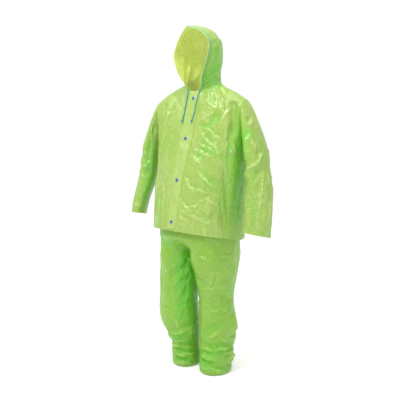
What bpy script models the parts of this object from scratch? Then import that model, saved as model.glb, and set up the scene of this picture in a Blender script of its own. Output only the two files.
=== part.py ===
"""Rain suit: a hooded jacket that snaps shut in front, and trousers, in the form they keep when worn.

Every panel is a grid of points worked out from section tables. Its outer surface is that grid, its
inner surface lies one wall further in, and neighbouring panels share the points of their seam.
"""

import math
from collections import namedtuple

import bmesh
import bpy
import numpy as np
from mathutils import Vector

# Sizes are in metres. Heights in the tables are above the ground; the origin is at the shoulders.
# The front faces -Y and the wearer's left side is +X.
HOLD_HEIGHT = 1.42
WALL = 0.0015
SEAM_GAP = 0.0003
SAME_POINT = 0.00001

# Grid counts.
FRONT_CELLS = 12
NECK_CELLS = 5
BODY_CELLS_UP = 11
CHEST_CELLS_UP = 9
SLEEVE_CELLS_UP = 20
HOOD_CELLS_UP = 11
LEG_CELLS_ROUND = 18
ANKLE_CELLS_UP = 10
THIGH_CELLS_UP = 8
RISE_CELLS_UP = 4
HIP_CELLS_UP = 4
WAISTBAND_CELLS_UP = 2

# Jacket.
CHEST_HEIGHT = 1.165
HEM_HEIGHT = 0.702
HEM_FRONT_RISE = 0.048
CLOSURE_SHIFT = -0.018
CLOSURE_TOP = 1.360
CLOSURE_FALL = 0.300
PLACKET_HALF_WIDTH = 0.030
PLACKET_LIFT = 0.25
NECK_HALF_WIDTH = 0.105
NECK_FRONT = 0.056
NECK_BACK = 0.088
NECK_FRONT_HEIGHT = 1.408
NECK_SIDE_HEIGHT = 1.442
NECK_BACK_HEIGHT = 1.452
SHOULDER_X = 0.264
SHOULDER_Y = 0.005
SHOULDER_HEIGHT = 1.362
SHOULDER_CROWN = 0.004
SCYE_FRONT = 0.050
SCYE_BACK = 0.030
SCYE_TO_THE_SIDE = 4
SCYE_ROUNDING = 0.8
ROUND_CHEST_TURN = 1.4

BodySection = namedtuple("BodySection", "height half_width front back square")
BODY = [
    BodySection(0.690, 0.234, 0.226, 0.148, 2.3),
    BodySection(0.800, 0.236, 0.207, 0.145, 2.3),
    BodySection(0.920, 0.241, 0.181, 0.142, 2.4),
    BodySection(1.050, 0.247, 0.149, 0.136, 2.5),
    BodySection(CHEST_HEIGHT, 0.256, 0.116, 0.130, 2.6),
]

# Sleeve rings, cuff to armhole: a ring spans from its inner to its outer point, and half_depth to the
# front and back of centre_y. Twist turns its long side to the back and tilt lifts its front edge.
SleeveSection = namedtuple(
    "SleeveSection", "share inner_x inner_height outer_x outer_height centre_y half_depth twist tilt")
SLEEVE = [
    SleeveSection(0.00, 0.316, 0.758, 0.422, 0.752, -0.062, 0.056, 0.36, 0.26),
    SleeveSection(0.12, 0.312, 0.816, 0.421, 0.812, -0.052, 0.057, 0.34, 0.20),
    SleeveSection(0.26, 0.306, 0.884, 0.416, 0.886, -0.039, 0.058, 0.30, 0.12),
    SleeveSection(0.40, 0.300, 0.950, 0.406, 0.960, -0.025, 0.060, 0.22, 0.05),
    SleeveSection(0.54, 0.293, 1.018, 0.390, 1.042, -0.014, 0.066, 0.12, 0.00),
    SleeveSection(0.68, 0.284, 1.074, 0.369, 1.128, -0.005, 0.073, 0.04, 0.00),
    SleeveSection(0.82, 0.278, 1.112, 0.340, 1.218, 0.002, 0.079, 0.00, 0.00),
    SleeveSection(1.00, 0.274, 1.140, 0.322, 1.295, 0.004, 0.082, 0.00, 0.00),
]
SLEEVE_BLEND = 0.28
SLEEVE_LAST_RING = 0.925
RIGHT_CUFF_LIFT = 0.022
RIGHT_CUFF_FORWARD = 0.006
RIGHT_CUFF_NARROWS = 0.018

# Hood rings, neck to top: the rim's half width and place, and how far back the centre seam lies.
HoodSection = namedtuple("HoodSection", "share rim_x rim_y back_y bulge")
HOOD = [
    HoodSection(0.00, 0.034, -0.056, 0.088, 0.040),
    HoodSection(0.17, 0.062, -0.080, 0.096, 0.030),
    HoodSection(0.35, 0.086, -0.090, 0.104, 0.024),
    HoodSection(0.58, 0.106, -0.086, 0.101, 0.016),
    HoodSection(0.78, 0.096, -0.074, 0.092, 0.012),
    HoodSection(0.90, 0.066, -0.078, 0.072, 0.008),
    HoodSection(0.96, 0.038, -0.092, 0.056, 0.004),
    HoodSection(1.00, 0.000, -0.114, 0.038, 0.000),
]
HOOD_PEAK_HEIGHT = 1.700
HOOD_CROWN_HEIGHT = 1.722
HOOD_BACK_HEIGHT = 1.682
HOOD_BLEND = 0.22

# Trousers.
ANKLE_TOP = 0.210
CROTCH_HEIGHT = 0.590
RISE_TOP = 0.720
WAIST_HEIGHT = 0.990
WAISTBAND_TALL = 0.030

HipSection = namedtuple("HipSection", "height half_width front back square")
HIPS = [
    HipSection(0.600, 0.204, 0.190, 0.134, 2.2),
    HipSection(0.720, 0.207, 0.194, 0.126, 2.3),
    HipSection(0.820, 0.198, 0.166, 0.118, 2.3),
    HipSection(0.920, 0.184, 0.138, 0.112, 2.2),
    HipSection(1.040, 0.166, 0.116, 0.104, 2.1),
]

LegSection = namedtuple("LegSection", "height centre_x centre_y half_width half_depth")
LEFT_LEG = [
    LegSection(0.006, 0.084, 0.008, 0.078, 0.090),
    LegSection(0.050, 0.085, 0.009, 0.081, 0.092),
    LegSection(0.120, 0.087, 0.012, 0.083, 0.094),
    LegSection(0.250, 0.095, 0.010, 0.092, 0.102),
    LegSection(0.400, 0.098, -0.008, 0.087, 0.094),
    LegSection(0.510, 0.104, -0.014, 0.096, 0.120),
    LegSection(CROTCH_HEIGHT, 0.102, -0.016, 0.102, 0.150),
    LegSection(0.780, 0.102, -0.020, 0.102, 0.160),
]
RIGHT_LEG = [
    LegSection(0.006, 0.094, -0.014, 0.072, 0.078),
    LegSection(0.050, 0.095, -0.015, 0.074, 0.078),
    LegSection(0.120, 0.094, -0.020, 0.072, 0.078),
    LegSection(0.250, 0.110, -0.047, 0.100, 0.102),
    LegSection(0.400, 0.110, -0.049, 0.098, 0.105),
    LegSection(0.510, 0.107, -0.034, 0.100, 0.122),
    LegSection(CROTCH_HEIGHT, 0.102, -0.016, 0.102, 0.150),
    LegSection(0.780, 0.102, -0.020, 0.102, 0.160),
]

# Large folds: a soft trough (depth below 0) or ridge along a line between two points (x, y, height).
Fold = namedtuple("Fold", "start end width depth")
JACKET_FOLDS = [
    Fold((0.222, -0.050, 1.345), (0.240, -0.070, 1.215), 0.016, -0.012),
    Fold((0.196, -0.055, 1.350), (0.205, -0.090, 1.200), 0.020, 0.006),
    Fold((-0.191, -0.058, 1.344), (-0.212, -0.081, 1.195), 0.018, -0.010),
    Fold((-0.150, -0.060, 1.350), (-0.175, -0.110, 1.120), 0.020, 0.006),
    Fold((-0.170, -0.110, 1.130), (-0.150, -0.160, 0.980), 0.022, -0.006),
    Fold((0.145, -0.080, 1.281), (0.100, -0.125, 1.120), 0.022, -0.006),
    Fold((0.134, -0.114, 1.135), (0.150, -0.150, 0.960), 0.024, 0.007),
    Fold((0.215, -0.090, 1.100), (0.225, -0.100, 0.780), 0.024, -0.008),
    Fold((0.180, -0.150, 0.900), (0.165, -0.175, 0.740), 0.022, 0.006),
    Fold((-0.200, -0.110, 0.960), (-0.195, -0.135, 0.740), 0.024, 0.006),
    Fold((0.205, 0.090, 1.290), (0.130, 0.125, 1.080), 0.022, -0.010),
    Fold((-0.200, 0.090, 1.270), (-0.110, 0.125, 1.050), 0.024, -0.009),
    Fold((0.090, 0.130, 1.020), (0.120, 0.140, 0.740), 0.026, 0.008),
    Fold((-0.060, 0.135, 0.980), (-0.090, 0.145, 0.720), 0.024, 0.007),
    Fold((0.010, 0.135, 1.000), (0.000, 0.145, 0.730), 0.026, -0.006),
    Fold((0.210, 0.080, 0.960), (0.215, 0.090, 0.740), 0.022, -0.007),
    Fold((-0.205, 0.085, 1.000), (-0.210, 0.090, 0.760), 0.024, -0.007),
    Fold((0.370, -0.030, 1.140), (0.300, -0.065, 1.070), 0.015, -0.009),
    Fold((0.380, -0.050, 1.085), (0.310, -0.070, 1.030), 0.014, 0.006),
    Fold((0.377, -0.060, 1.044), (0.305, -0.068, 0.975), 0.015, -0.009),
    Fold((0.385, -0.065, 1.010), (0.385, -0.110, 0.790), 0.015, -0.006),
    Fold((0.330, 0.070, 1.150), (0.300, 0.060, 1.040), 0.017, -0.008),
    Fold((0.380, 0.045, 1.060), (0.330, 0.060, 0.990), 0.016, -0.008),
    Fold((0.395, 0.030, 0.960), (0.390, 0.000, 0.800), 0.016, 0.006),
    Fold((-0.266, -0.060, 1.230), (-0.315, -0.066, 1.070), 0.016, -0.007),
    Fold((-0.380, -0.050, 1.030), (-0.310, -0.072, 1.000), 0.015, -0.008),
    Fold((-0.365, -0.060, 1.100), (-0.300, -0.070, 1.060), 0.015, -0.007),
    Fold((-0.385, -0.070, 0.980), (-0.370, -0.120, 0.840), 0.016, -0.006),
    Fold((-0.340, 0.070, 1.130), (-0.300, 0.060, 1.020), 0.017, -0.008),
    Fold((-0.385, 0.040, 1.020), (-0.330, 0.055, 0.950), 0.016, -0.008),
    Fold((0.062, -0.062, 1.470), (0.108, -0.020, 1.590), 0.012, -0.007),
    Fold((0.075, -0.040, 1.455), (0.110, 0.040, 1.545), 0.012, -0.008),
    Fold((0.085, 0.020, 1.455), (0.080, 0.080, 1.520), 0.012, -0.006),
    Fold((0.104, -0.045, 1.620), (0.070, 0.050, 1.670), 0.013, -0.006),
    Fold((-0.062, -0.062, 1.475), (-0.106, -0.015, 1.570), 0.012, -0.007),
    Fold((-0.078, -0.030, 1.455), (-0.108, 0.045, 1.560), 0.013, -0.008),
    Fold((-0.085, 0.030, 1.460), (-0.070, 0.085, 1.530), 0.012, -0.006),
    Fold((-0.100, -0.040, 1.640), (-0.060, 0.060, 1.680), 0.014, -0.006),
]
TROUSER_FOLDS = [
    Fold((-0.012, -0.090, 0.575), (-0.078, -0.143, 0.500), 0.016, -0.012),
    Fold((-0.011, -0.080, 0.500), (-0.085, -0.143, 0.440), 0.018, -0.007),
    Fold((-0.020, -0.090, 0.420), (-0.100, -0.140, 0.340), 0.018, -0.006),
    Fold((-0.150, -0.130, 0.620), (-0.140, -0.135, 0.410), 0.016, -0.010),
    Fold((-0.195, -0.040, 0.430), (-0.195, -0.050, 0.330), 0.022, 0.010),
    Fold((-0.190, -0.060, 0.300), (-0.120, -0.120, 0.270), 0.018, 0.008),
    Fold((-0.150, -0.080, 0.150), (-0.020, -0.060, 0.200), 0.018, 0.010),
    Fold((-0.150, -0.060, 0.110), (-0.020, -0.050, 0.130), 0.012, -0.010),
    Fold((-0.140, -0.060, 0.075), (-0.030, -0.070, 0.090), 0.013, 0.008),
    Fold((-0.130, -0.065, 0.048), (-0.030, -0.065, 0.058), 0.010, -0.009),
    Fold((-0.155, -0.020, 0.030), (-0.060, -0.078, 0.025), 0.014, 0.010),
    Fold((-0.150, 0.040, 0.120), (-0.030, 0.070, 0.140), 0.014, -0.010),
    Fold((-0.150, 0.040, 0.165), (-0.040, 0.065, 0.185), 0.015, 0.008),
    Fold((-0.140, 0.050, 0.070), (-0.030, 0.070, 0.060), 0.012, -0.009),
    Fold((0.030, -0.080, 0.560), (0.110, -0.130, 0.500), 0.018, -0.006),
    Fold((0.133, -0.120, 0.700), (0.140, -0.100, 0.380), 0.014, 0.006),
    Fold((0.170, -0.080, 0.430), (0.190, 0.010, 0.395), 0.014, -0.008),
    Fold((0.150, -0.090, 0.390), (0.185, -0.010, 0.340), 0.014, 0.006),
    Fold((0.185, 0.010, 0.290), (0.180, 0.040, 0.240), 0.022, 0.012),
    Fold((0.020, -0.040, 0.270), (0.100, -0.065, 0.165), 0.014, -0.010),
    Fold((0.100, -0.062, 0.165), (0.170, 0.000, 0.185), 0.014, -0.010),
    Fold((0.060, -0.060, 0.145), (0.160, -0.020, 0.130), 0.014, 0.009),
    Fold((0.040, -0.050, 0.095), (0.165, -0.010, 0.105), 0.011, -0.010),
    Fold((0.050, -0.055, 0.068), (0.165, 0.000, 0.075), 0.011, 0.008),
    Fold((0.060, -0.055, 0.038), (0.165, 0.010, 0.045), 0.010, -0.009),
    Fold((0.172, 0.040, 0.110), (0.168, 0.060, 0.070), 0.020, 0.010),
    Fold((0.030, 0.095, 0.140), (0.150, 0.090, 0.115), 0.014, -0.010),
    Fold((0.040, 0.100, 0.180), (0.150, 0.090, 0.165), 0.015, 0.008),
    Fold((0.030, 0.100, 0.070), (0.140, 0.100, 0.060), 0.012, -0.009),
    Fold((0.110, 0.110, 0.560), (0.030, 0.120, 0.480), 0.020, -0.008),
    Fold((-0.110, 0.110, 0.570), (-0.030, 0.100, 0.490), 0.020, -0.008),
    Fold((0.150, 0.080, 0.420), (0.040, 0.085, 0.360), 0.018, -0.007),
    Fold((-0.160, 0.050, 0.420), (-0.050, 0.060, 0.350), 0.018, -0.007),
]

# Snaps down the placket, and the drawcord's two free ends.
SNAP_HEIGHTS = (1.374, 1.184, 0.989, 0.792)
SNAP_RADIUS = 0.0075
SNAP_TALL = 0.0030
SNAP_RIM = 0.0010
SNAP_SIDES = 16
CLOTH_SHARP_ANGLE = math.radians(60)
SNAP_SHARP_ANGLE = math.radians(50)
CORD_DIAMETER = 0.0040
CORD_SPACING = 0.010
KNOT_RADIUS = 0.0045
KNOT_TALL = 0.0110
LEFT_CORD = [
    (0.0335, -0.0582, 1.4150), (0.0322, -0.0593, 1.4050), (0.0270, -0.0655, 1.3830),
    (0.0230, -0.0741, 1.3500), (0.0215, -0.0845, 1.3090), (0.0170, -0.0915, 1.2830),
    (0.0150, -0.0955, 1.2720),
]
RIGHT_CORD = [
    (-0.0370, -0.0597, 1.4170), (-0.0388, -0.0575, 1.4070), (-0.0405, -0.0629, 1.3830),
    (-0.0410, -0.0720, 1.3480), (-0.0435, -0.0831, 1.3050), (-0.0450, -0.0895, 1.2830),
    (-0.0455, -0.0936, 1.2710),
]

# Panels whose rows close on themselves, the shell that each panel belongs to, and each panel's seams.
TUBES = ("sleeve_left", "sleeve_right", "waistband")
SHELL_OF = {"front": 0, "back": 0, "sleeve": 1, "hood": 2, "leg": 3, "waistband": 4}
PANEL_EDGES = {
    "front_left": ("first", "last", "top"),
    "front_right": ("first", "last", "top"),
    "back": ("first", "last", "top"),
    "sleeve_left": ("top",),
    "sleeve_right": ("top",),
    "hood_left": ("bottom", "last", "top"),
    "hood_right": ("bottom", "first", "top"),
    "leg_left": ("first", "last", "top"),
    "leg_right": ("first", "last", "top"),
    "waistband": ("bottom",),
}

Finish = namedtuple("Finish", "colour roughness")
JACKET_VINYL = Finish((0.62, 0.74, 0.16), 0.28)
TROUSER_VINYL = Finish((0.44, 0.60, 0.14), 0.30)
SNAP_BLUE = Finish((0.08, 0.22, 0.55), 0.35)
CORD_TEAL = Finish((0.10, 0.38, 0.42), 0.70)


def clear_scene():
    """Remove what a new Blender file holds."""
    for item in list(bpy.data.objects):
        bpy.data.objects.remove(item, do_unlink=True)


def smoothstep(value):
    """0 below 0, 1 above 1, and a soft S between."""
    t = np.clip(value, 0.0, 1.0)
    return t * t * (3.0 - 2.0 * t)


def read_table(rows, key, wanted):
    """Read every column of a section table on a smooth curve, where its key has the wanted values."""
    table = np.array(rows, dtype=float)
    wanted = np.asarray(wanted, dtype=float)
    knots = table[:, rows[0]._fields.index(key)]
    slopes = np.gradient(table, knots, axis=0)
    cell = np.clip(np.searchsorted(knots, wanted, side="right") - 1, 0, len(knots) - 2)
    step = (knots[cell + 1] - knots[cell])[..., None]
    t = (wanted - knots[cell])[..., None] / step
    value = ((1 + 2 * t) * (1 - t) ** 2 * table[cell] + t * (1 - t) ** 2 * slopes[cell] * step
             + t * t * (3 - 2 * t) * table[cell + 1] + t * t * (t - 1) * slopes[cell + 1] * step)
    return type(rows[0])(*np.moveaxis(value, -1, 0))


def stack(x, y, height):
    """Points from their coordinates, with the height measured from the origin instead of the ground."""
    return np.stack(np.broadcast_arrays(x, y, height - HOLD_HEIGHT), axis=-1)


def super_quarter(angle, half_width, depth, square):
    """A point on a squared ellipse: across and deep for an angle from the centre line to the side."""
    power = 2.0 / square
    return half_width * np.sin(angle) ** power, depth * np.abs(np.cos(angle)) ** power


def column_angles():
    """Angles of a half body's columns, centre to side; the first cell is half the placket wide."""
    mid = BODY[2]
    first = math.asin((PLACKET_HALF_WIDTH / mid.half_width) ** (mid.square / 2.0))
    return np.concatenate([[0.0], np.linspace(first, math.pi / 2, FRONT_CELLS)])


def hem_height(y):
    """The hem is level behind and rises towards the centre front."""
    return HEM_HEIGHT + HEM_FRONT_RISE * np.maximum(-y, 0.0) / BODY[0].front


def closure_shift(height):
    """How far the front opening has drifted to the wearer's right, from the neck down."""
    return CLOSURE_SHIFT * smoothstep((CLOSURE_TOP - height) / CLOSURE_FALL)


def neck_point(turn, depth, centre_height):
    """The neckline from its centre (turn 0) to the shoulder seam (turn 1)."""
    angle = turn * math.pi / 2
    height = centre_height + (NECK_SIDE_HEIGHT - centre_height) * np.sin(angle) ** 2
    return NECK_HALF_WIDTH * np.sin(angle), depth * np.cos(angle), height


def top_line(depth, centre_height):
    """The top edge of a half body: the neckline, then the shoulder seam out to the armhole."""
    turn = np.arange(NECK_CELLS + 1) / NECK_CELLS
    neck_x, neck_y, neck_height = neck_point(turn, depth, centre_height)
    out = np.arange(1, FRONT_CELLS - NECK_CELLS + 1) / (FRONT_CELLS - NECK_CELLS)
    seam_x = NECK_HALF_WIDTH + (SHOULDER_X - NECK_HALF_WIDTH) * out
    seam_y = SHOULDER_Y * out
    seam_height = (NECK_SIDE_HEIGHT + (SHOULDER_HEIGHT - NECK_SIDE_HEIGHT) * out
                   + SHOULDER_CROWN * np.sin(math.pi * out))
    return (np.concatenate([neck_x, seam_x]), np.concatenate([neck_y, seam_y]),
            np.concatenate([neck_height, seam_height]))


def half_body(side, is_front):
    """A half front or half back as a grid: rows hem to top, columns centre to side.

    Below the chest the rows are squared ellipses. Above it each column rises to the top line on a
    quarter ellipse near the arm and on a straight line at the centre, and the armhole is scooped.
    """
    angle = column_angles()
    along = angle / (math.pi / 2)
    facing = -1.0 if is_front else 1.0
    centre_depth = NECK_FRONT if is_front else NECK_BACK
    scoop = SCYE_FRONT if is_front else SCYE_BACK

    low = BODY[0]
    _, hem_y = super_quarter(angle, low.half_width, low.front if is_front else low.back, low.square)
    hem = hem_height(facing * hem_y)
    up = np.arange(BODY_CELLS_UP + 1)[:, None] / BODY_CELLS_UP
    height = hem + (CHEST_HEIGHT - hem) * up
    section = read_table(BODY, "height", height)
    depth = section.front if is_front else section.back
    x, y = super_quarter(angle, section.half_width, depth, section.square)
    shift = closure_shift(height) * (1 - along) ** 2 * is_front
    lower = stack(side * x + shift, facing * y, height)

    top_x, top_y, top_height = top_line(centre_depth, NECK_FRONT_HEIGHT if is_front else NECK_BACK_HEIGHT)
    top_y = np.where(np.arange(FRONT_CELLS + 1) <= NECK_CELLS, facing * top_y, top_y)
    rise = np.arange(1, CHEST_CELLS_UP + 1)[:, None] / CHEST_CELLS_UP
    roundness = smoothstep(along * ROUND_CHEST_TURN)
    over = (1 - roundness) * rise + roundness * (1 - np.cos(rise * math.pi / 2))
    climb = (1 - roundness) * rise + roundness * np.sin(rise * math.pi / 2)
    chest_x, chest_y = x[-1], facing * y[-1]
    upper_x = chest_x + (top_x - chest_x) * rise
    upper_y = (chest_y + (top_y - chest_y) * over
               + facing * scoop * along ** SCYE_TO_THE_SIDE * np.sin(math.pi * rise) ** SCYE_ROUNDING)
    upper_height = CHEST_HEIGHT + (top_height - CHEST_HEIGHT) * climb
    shift = closure_shift(upper_height) * (1 - along) ** 2 * is_front
    upper = stack(side * upper_x + shift, upper_y, upper_height)
    return np.concatenate([lower, upper])


def sleeve_rings(armhole, lift, forward, narrows):
    """A left sleeve as rings from cuff to armhole; each runs from the underarm over the front and back.

    The rings are ellipses that turn into the armhole's own loop over the last stretch.
    """
    share = np.append(np.linspace(0.0, SLEEVE_LAST_RING, SLEEVE_CELLS_UP), 1.0)[:, None]
    section = read_table(SLEEVE, "share", share)
    turn = 2 * math.pi * np.arange(2 * CHEST_CELLS_UP) / (2 * CHEST_CELLS_UP)
    outward = (1 - np.cos(turn)) / 2
    fore = smoothstep(1 - share * 2)
    inner_x = section.inner_x + narrows * fore
    x = inner_x + (section.outer_x - inner_x) * outward
    height = section.inner_height + (section.outer_height - section.inner_height) * outward
    deep = -section.half_depth * np.sin(turn)
    x = x + section.twist * deep
    y = section.centre_y - forward * fore + deep
    rings = stack(x, y, height - section.tilt * deep + lift * fore)
    blend = np.clip((share - (1 - SLEEVE_BLEND)) / SLEEVE_BLEND, 0.0, 1.0)[..., None]
    return rings * (1 - blend) + armhole * blend


def hood_panel(neck):
    """The left hood panel: rows neck to top, columns from the rim round to the centre seam."""
    columns = len(neck)
    share = np.sin(np.arange(HOOD_CELLS_UP + 1) / HOOD_CELLS_UP * math.pi / 2)[:, None]
    section = read_table(HOOD, "share", share)
    angle = np.arange(columns) / (columns - 1) * math.pi / 2
    x = section.rim_x * np.cos(angle) + section.bulge * np.sin(2 * angle)
    x[:, -1] = 0.0
    y = section.rim_y + (section.back_y - section.rim_y) * np.sin(angle)
    back = angle / (math.pi / 2)
    ridge = (HOOD_PEAK_HEIGHT * (1 - back) + HOOD_BACK_HEIGHT * back
             + (HOOD_CROWN_HEIGHT - HOOD_PEAK_HEIGHT) * np.sin(math.pi * back))
    foot = neck[:, 2] + HOLD_HEIGHT
    grid = stack(x, y, foot + (ridge - foot) * share)
    blend = np.clip(share / HOOD_BLEND, 0.0, 1.0)[..., None]
    return neck * (1 - blend) + grid * blend


def leg_panel(legs):
    """A left leg: rows hem to waist, columns from the front edge round the outside to the back edge.

    Under the crotch a row is a whole ring that meets itself at the inseam. Above it a row opens
    into half of the hips, and its edges run down the centre seams to the crotch.
    """
    ankle = np.linspace(legs[0].height, ANKLE_TOP, ANKLE_CELLS_UP + 1)
    thigh = np.linspace(ANKLE_TOP, CROTCH_HEIGHT, THIGH_CELLS_UP + 1)[1:]
    rise = np.linspace(CROTCH_HEIGHT, RISE_TOP, RISE_CELLS_UP + 1)[1:]
    hips = np.linspace(RISE_TOP, WAIST_HEIGHT, HIP_CELLS_UP + 1)[1:]
    height = np.concatenate([ankle, thigh, rise, hips])[:, None]
    share = np.arange(LEG_CELLS_ROUND + 1) / LEG_CELLS_ROUND
    leg = read_table(legs, "height", np.minimum(height, legs[-1].height))
    ring_x = leg.centre_x - leg.half_width * np.cos(2 * math.pi * share)
    ring_y = leg.centre_y - leg.half_depth * np.sin(2 * math.pi * share)
    hip = read_table(HIPS, "height", np.maximum(height, HIPS[0].height))
    angle = math.pi * share
    power = 2.0 / hip.square
    half_x = hip.half_width * np.abs(np.sin(angle)) ** power
    cosine = np.cos(angle)
    half_y = -np.where(cosine > 0, hip.front, hip.back) * np.sign(cosine) * np.abs(cosine) ** power
    closed = smoothstep((RISE_TOP - height) / (RISE_TOP - CROTCH_HEIGHT))
    x = ring_x * closed + half_x * (1 - closed)
    y = ring_y * closed + half_y * (1 - closed)
    at_seam = height >= CROTCH_HEIGHT - SAME_POINT
    x[:, [0, -1]] = np.where(at_seam, 0.0, x[:, [0, -1]])
    return stack(x, y, height)


def mirrored(grid):
    """The grid for the wearer's other side, with its columns turned round so it still faces out."""
    return (grid * (-1.0, 1.0, 1.0))[:, ::-1]


def unit(vectors):
    """Vectors scaled to length 1."""
    return vectors / np.linalg.norm(vectors, axis=-1, keepdims=True)


def panel_normals(grid, wrap):
    """The outward normal at each point of one panel, from the diagonals of the cells around it."""
    ring = np.concatenate([grid, grid[:, :1]], axis=1) if wrap else grid
    rising = ring[1:, 1:] - ring[:-1, :-1]
    falling = ring[1:, :-1] - ring[:-1, 1:]
    cells = np.cross(rising, falling)
    total = np.zeros(ring.shape)
    for corner in (np.s_[:-1, :-1], np.s_[:-1, 1:], np.s_[1:, :-1], np.s_[1:, 1:]):
        total[corner] += cells
    if wrap:
        total[:, 0] += total[:, -1]
        total = total[:, :-1]
    return unit(total)


def mean_by(labels, vectors):
    """The unit mean of the vectors that share a label, for each label, and each vector's own label."""
    kinds, index = np.unique(labels, axis=0, return_inverse=True)
    index = index.reshape(-1)
    total = np.zeros((len(kinds), 3))
    np.add.at(total, index, vectors)
    return unit(total), kinds, index


def shared_normals(panels):
    """Outward normals of every panel's points. Panels of one shell, such as the fronts and back,
    are averaged first, and then the shells that meet there, so a seam is mitred half and half."""
    points = np.concatenate([grid.reshape(-1, 3) for grid in panels.values()])
    own = np.concatenate([panel_normals(grid, name in TUBES).reshape(-1, 3)
                          for name, grid in panels.items()])
    shell = np.concatenate([np.full(grid.shape[0] * grid.shape[1], SHELL_OF[name.split("_")[0]])
                            for name, grid in panels.items()])
    keys = np.column_stack([np.round(points / SAME_POINT).astype(np.int64), shell])
    by_shell, kinds, in_shell = mean_by(keys, own)
    by_point, _, at_point = mean_by(kinds[:, :3], by_shell)
    mean = by_point[at_point[in_shell]]
    ends = np.cumsum([grid.shape[0] * grid.shape[1] for grid in panels.values()])
    pieces = np.split(mean, ends[:-1])
    return {name: piece.reshape(panels[name].shape) for name, piece in zip(panels, pieces)}


def without(vectors, direction):
    """Vectors less their share along a unit direction."""
    return vectors - np.sum(vectors * direction, axis=-1, keepdims=True) * direction


def pulled_in(grid, normals, edges):
    """Draw the named edges of a grid back by half a seam gap, square to the seam and its normals."""
    moved = grid.copy()
    pairs = {"first": (np.s_[:, 0], np.s_[:, 1]), "last": (np.s_[:, -1], np.s_[:, -2]),
             "bottom": (np.s_[0], np.s_[1]), "top": (np.s_[-1], np.s_[-2])}
    for edge in edges:
        at, inner = pairs[edge]
        seam = unit(np.gradient(grid[at], axis=0))
        step = without(without(grid[inner] - grid[at], normals[at]), unit(without(seam, normals[at])))
        moved[at] += unit(step) * SEAM_GAP / 2
    return moved


def wall_mesh(name, outer, inner, wrap=False):
    """A closed wall between two grids, with the same diagonal on both faces."""
    rows, columns = outer.shape[:2]
    index = np.arange(rows * columns).reshape(rows, columns)
    around = np.concatenate([index, index[:, :1]], axis=1) if wrap else index
    a, b = around[:-1, :-1].ravel(), around[:-1, 1:].ravel()
    c, d = around[1:, 1:].ravel(), around[1:, :-1].ravel()
    face = np.concatenate([np.stack([a, b, c], 1), np.stack([a, c, d], 1)])
    back = face[:, ::-1] + rows * columns
    loops = [around[0], around[-1][::-1]] if wrap else [
        np.concatenate([index[0], index[1:, -1], index[-1, -2::-1], index[-2::-1, 0]])]
    strips = []
    for loop in loops:
        p, q = loop[:-1], loop[1:]
        under = rows * columns
        strips += [np.stack([q, p, p + under], 1), np.stack([q, p + under, q + under], 1)]
    faces = np.concatenate([face, back] + strips)
    points = np.concatenate([outer.reshape(-1, 3), inner.reshape(-1, 3)])
    mesh = bpy.data.meshes.new(name)
    mesh.from_pydata(points.tolist(), [], faces.tolist())
    mesh.shade_smooth()
    mesh.set_sharp_from_angle(angle=CLOTH_SHARP_ANGLE)
    return mesh


def finish_material(name, finish):
    """A Principled material of one colour and roughness."""
    made = bpy.data.materials.new(name)
    made.use_nodes = True
    shader = made.node_tree.nodes["Principled BSDF"]
    shader.inputs["Base Color"].default_value = (*finish.colour, 1.0)
    shader.inputs["Roughness"].default_value = finish.roughness
    shader.inputs["Metallic"].default_value = 0.0
    return made


def add_object(name, data, finish, parent):
    """Link an object under the suit's empty, in its own material."""
    item = bpy.data.objects.new(name, data)
    bpy.context.collection.objects.link(item)
    item.parent = parent
    data.materials.clear()
    data.materials.append(finish_material(name, finish))
    return item


def layer(grid, normals, near, far):
    """Two grids at two heights above a panel's points."""
    return grid + normals * far, grid + normals * near


def folded(grids, folds):
    """Move every point along its normal by the troughs and ridges that pass near it."""
    normals = shared_normals(grids)
    lift = np.array([0.0, 0.0, HOLD_HEIGHT])
    result = {}
    for name, grid in grids.items():
        points = grid + lift
        push = np.zeros(grid.shape[:2])
        for fold in folds:
            start, along = np.array(fold.start), np.subtract(fold.end, fold.start)
            share = np.clip((points - start) @ along / (along @ along), 0.0, 1.0)
            away = np.linalg.norm(points - start - share[..., None] * along, axis=-1)
            push += fold.depth * np.exp(-(away / fold.width) ** 2)
        result[name] = grid + normals[name] * push[..., None]
    return result


def jacket_grids():
    """Every grid of the jacket, by panel name."""
    front = half_body(1.0, True)
    back_left = half_body(1.0, False)
    back_right = half_body(-1.0, False)
    front_right = half_body(-1.0, True)[:, ::-1]
    back = np.concatenate([back_left[:, ::-1], back_right[:, 1:]], axis=1)
    up = np.s_[BODY_CELLS_UP:, -1]
    armhole = np.concatenate([front[up], back_left[up][-2:0:-1]])
    left = sleeve_rings(armhole, 0.0, 0.0, 0.0)
    right = mirrored(sleeve_rings(armhole, RIGHT_CUFF_LIFT, RIGHT_CUFF_FORWARD, RIGHT_CUFF_NARROWS))
    neck = np.concatenate([front[-1, 1:NECK_CELLS + 1], back_left[-1, NECK_CELLS - 1::-1]])
    hood = hood_panel(neck)
    return {"front_left": front, "front_right": front_right, "back": back,
            "sleeve_left": left, "sleeve_right": right,
            "hood_left": hood, "hood_right": mirrored(hood)}


def trouser_grids():
    """Every grid of the trousers, by panel name."""
    left = leg_panel(LEFT_LEG)
    right = mirrored(leg_panel(RIGHT_LEG))
    ring = np.concatenate([left[-1, :-1], right[-1, :-1]])
    up = np.arange(WAISTBAND_CELLS_UP + 1)[:, None, None] / WAISTBAND_CELLS_UP
    band = ring + up * np.array([0.0, 0.0, WAISTBAND_TALL])
    return {"leg_left": left, "leg_right": right, "waistband": band}


def build_panels(grids, finish, parent):
    """Make every cloth panel's wall and return the normals of its points."""
    normals = shared_normals(grids)
    for name, grid in grids.items():
        outer = pulled_in(grid, normals[name], PANEL_EDGES[name])
        inner = pulled_in(grid - normals[name] * WALL, normals[name], PANEL_EDGES[name])
        add_object(name, wall_mesh(name, outer, inner, name in TUBES), finish, parent)
    return normals


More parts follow.
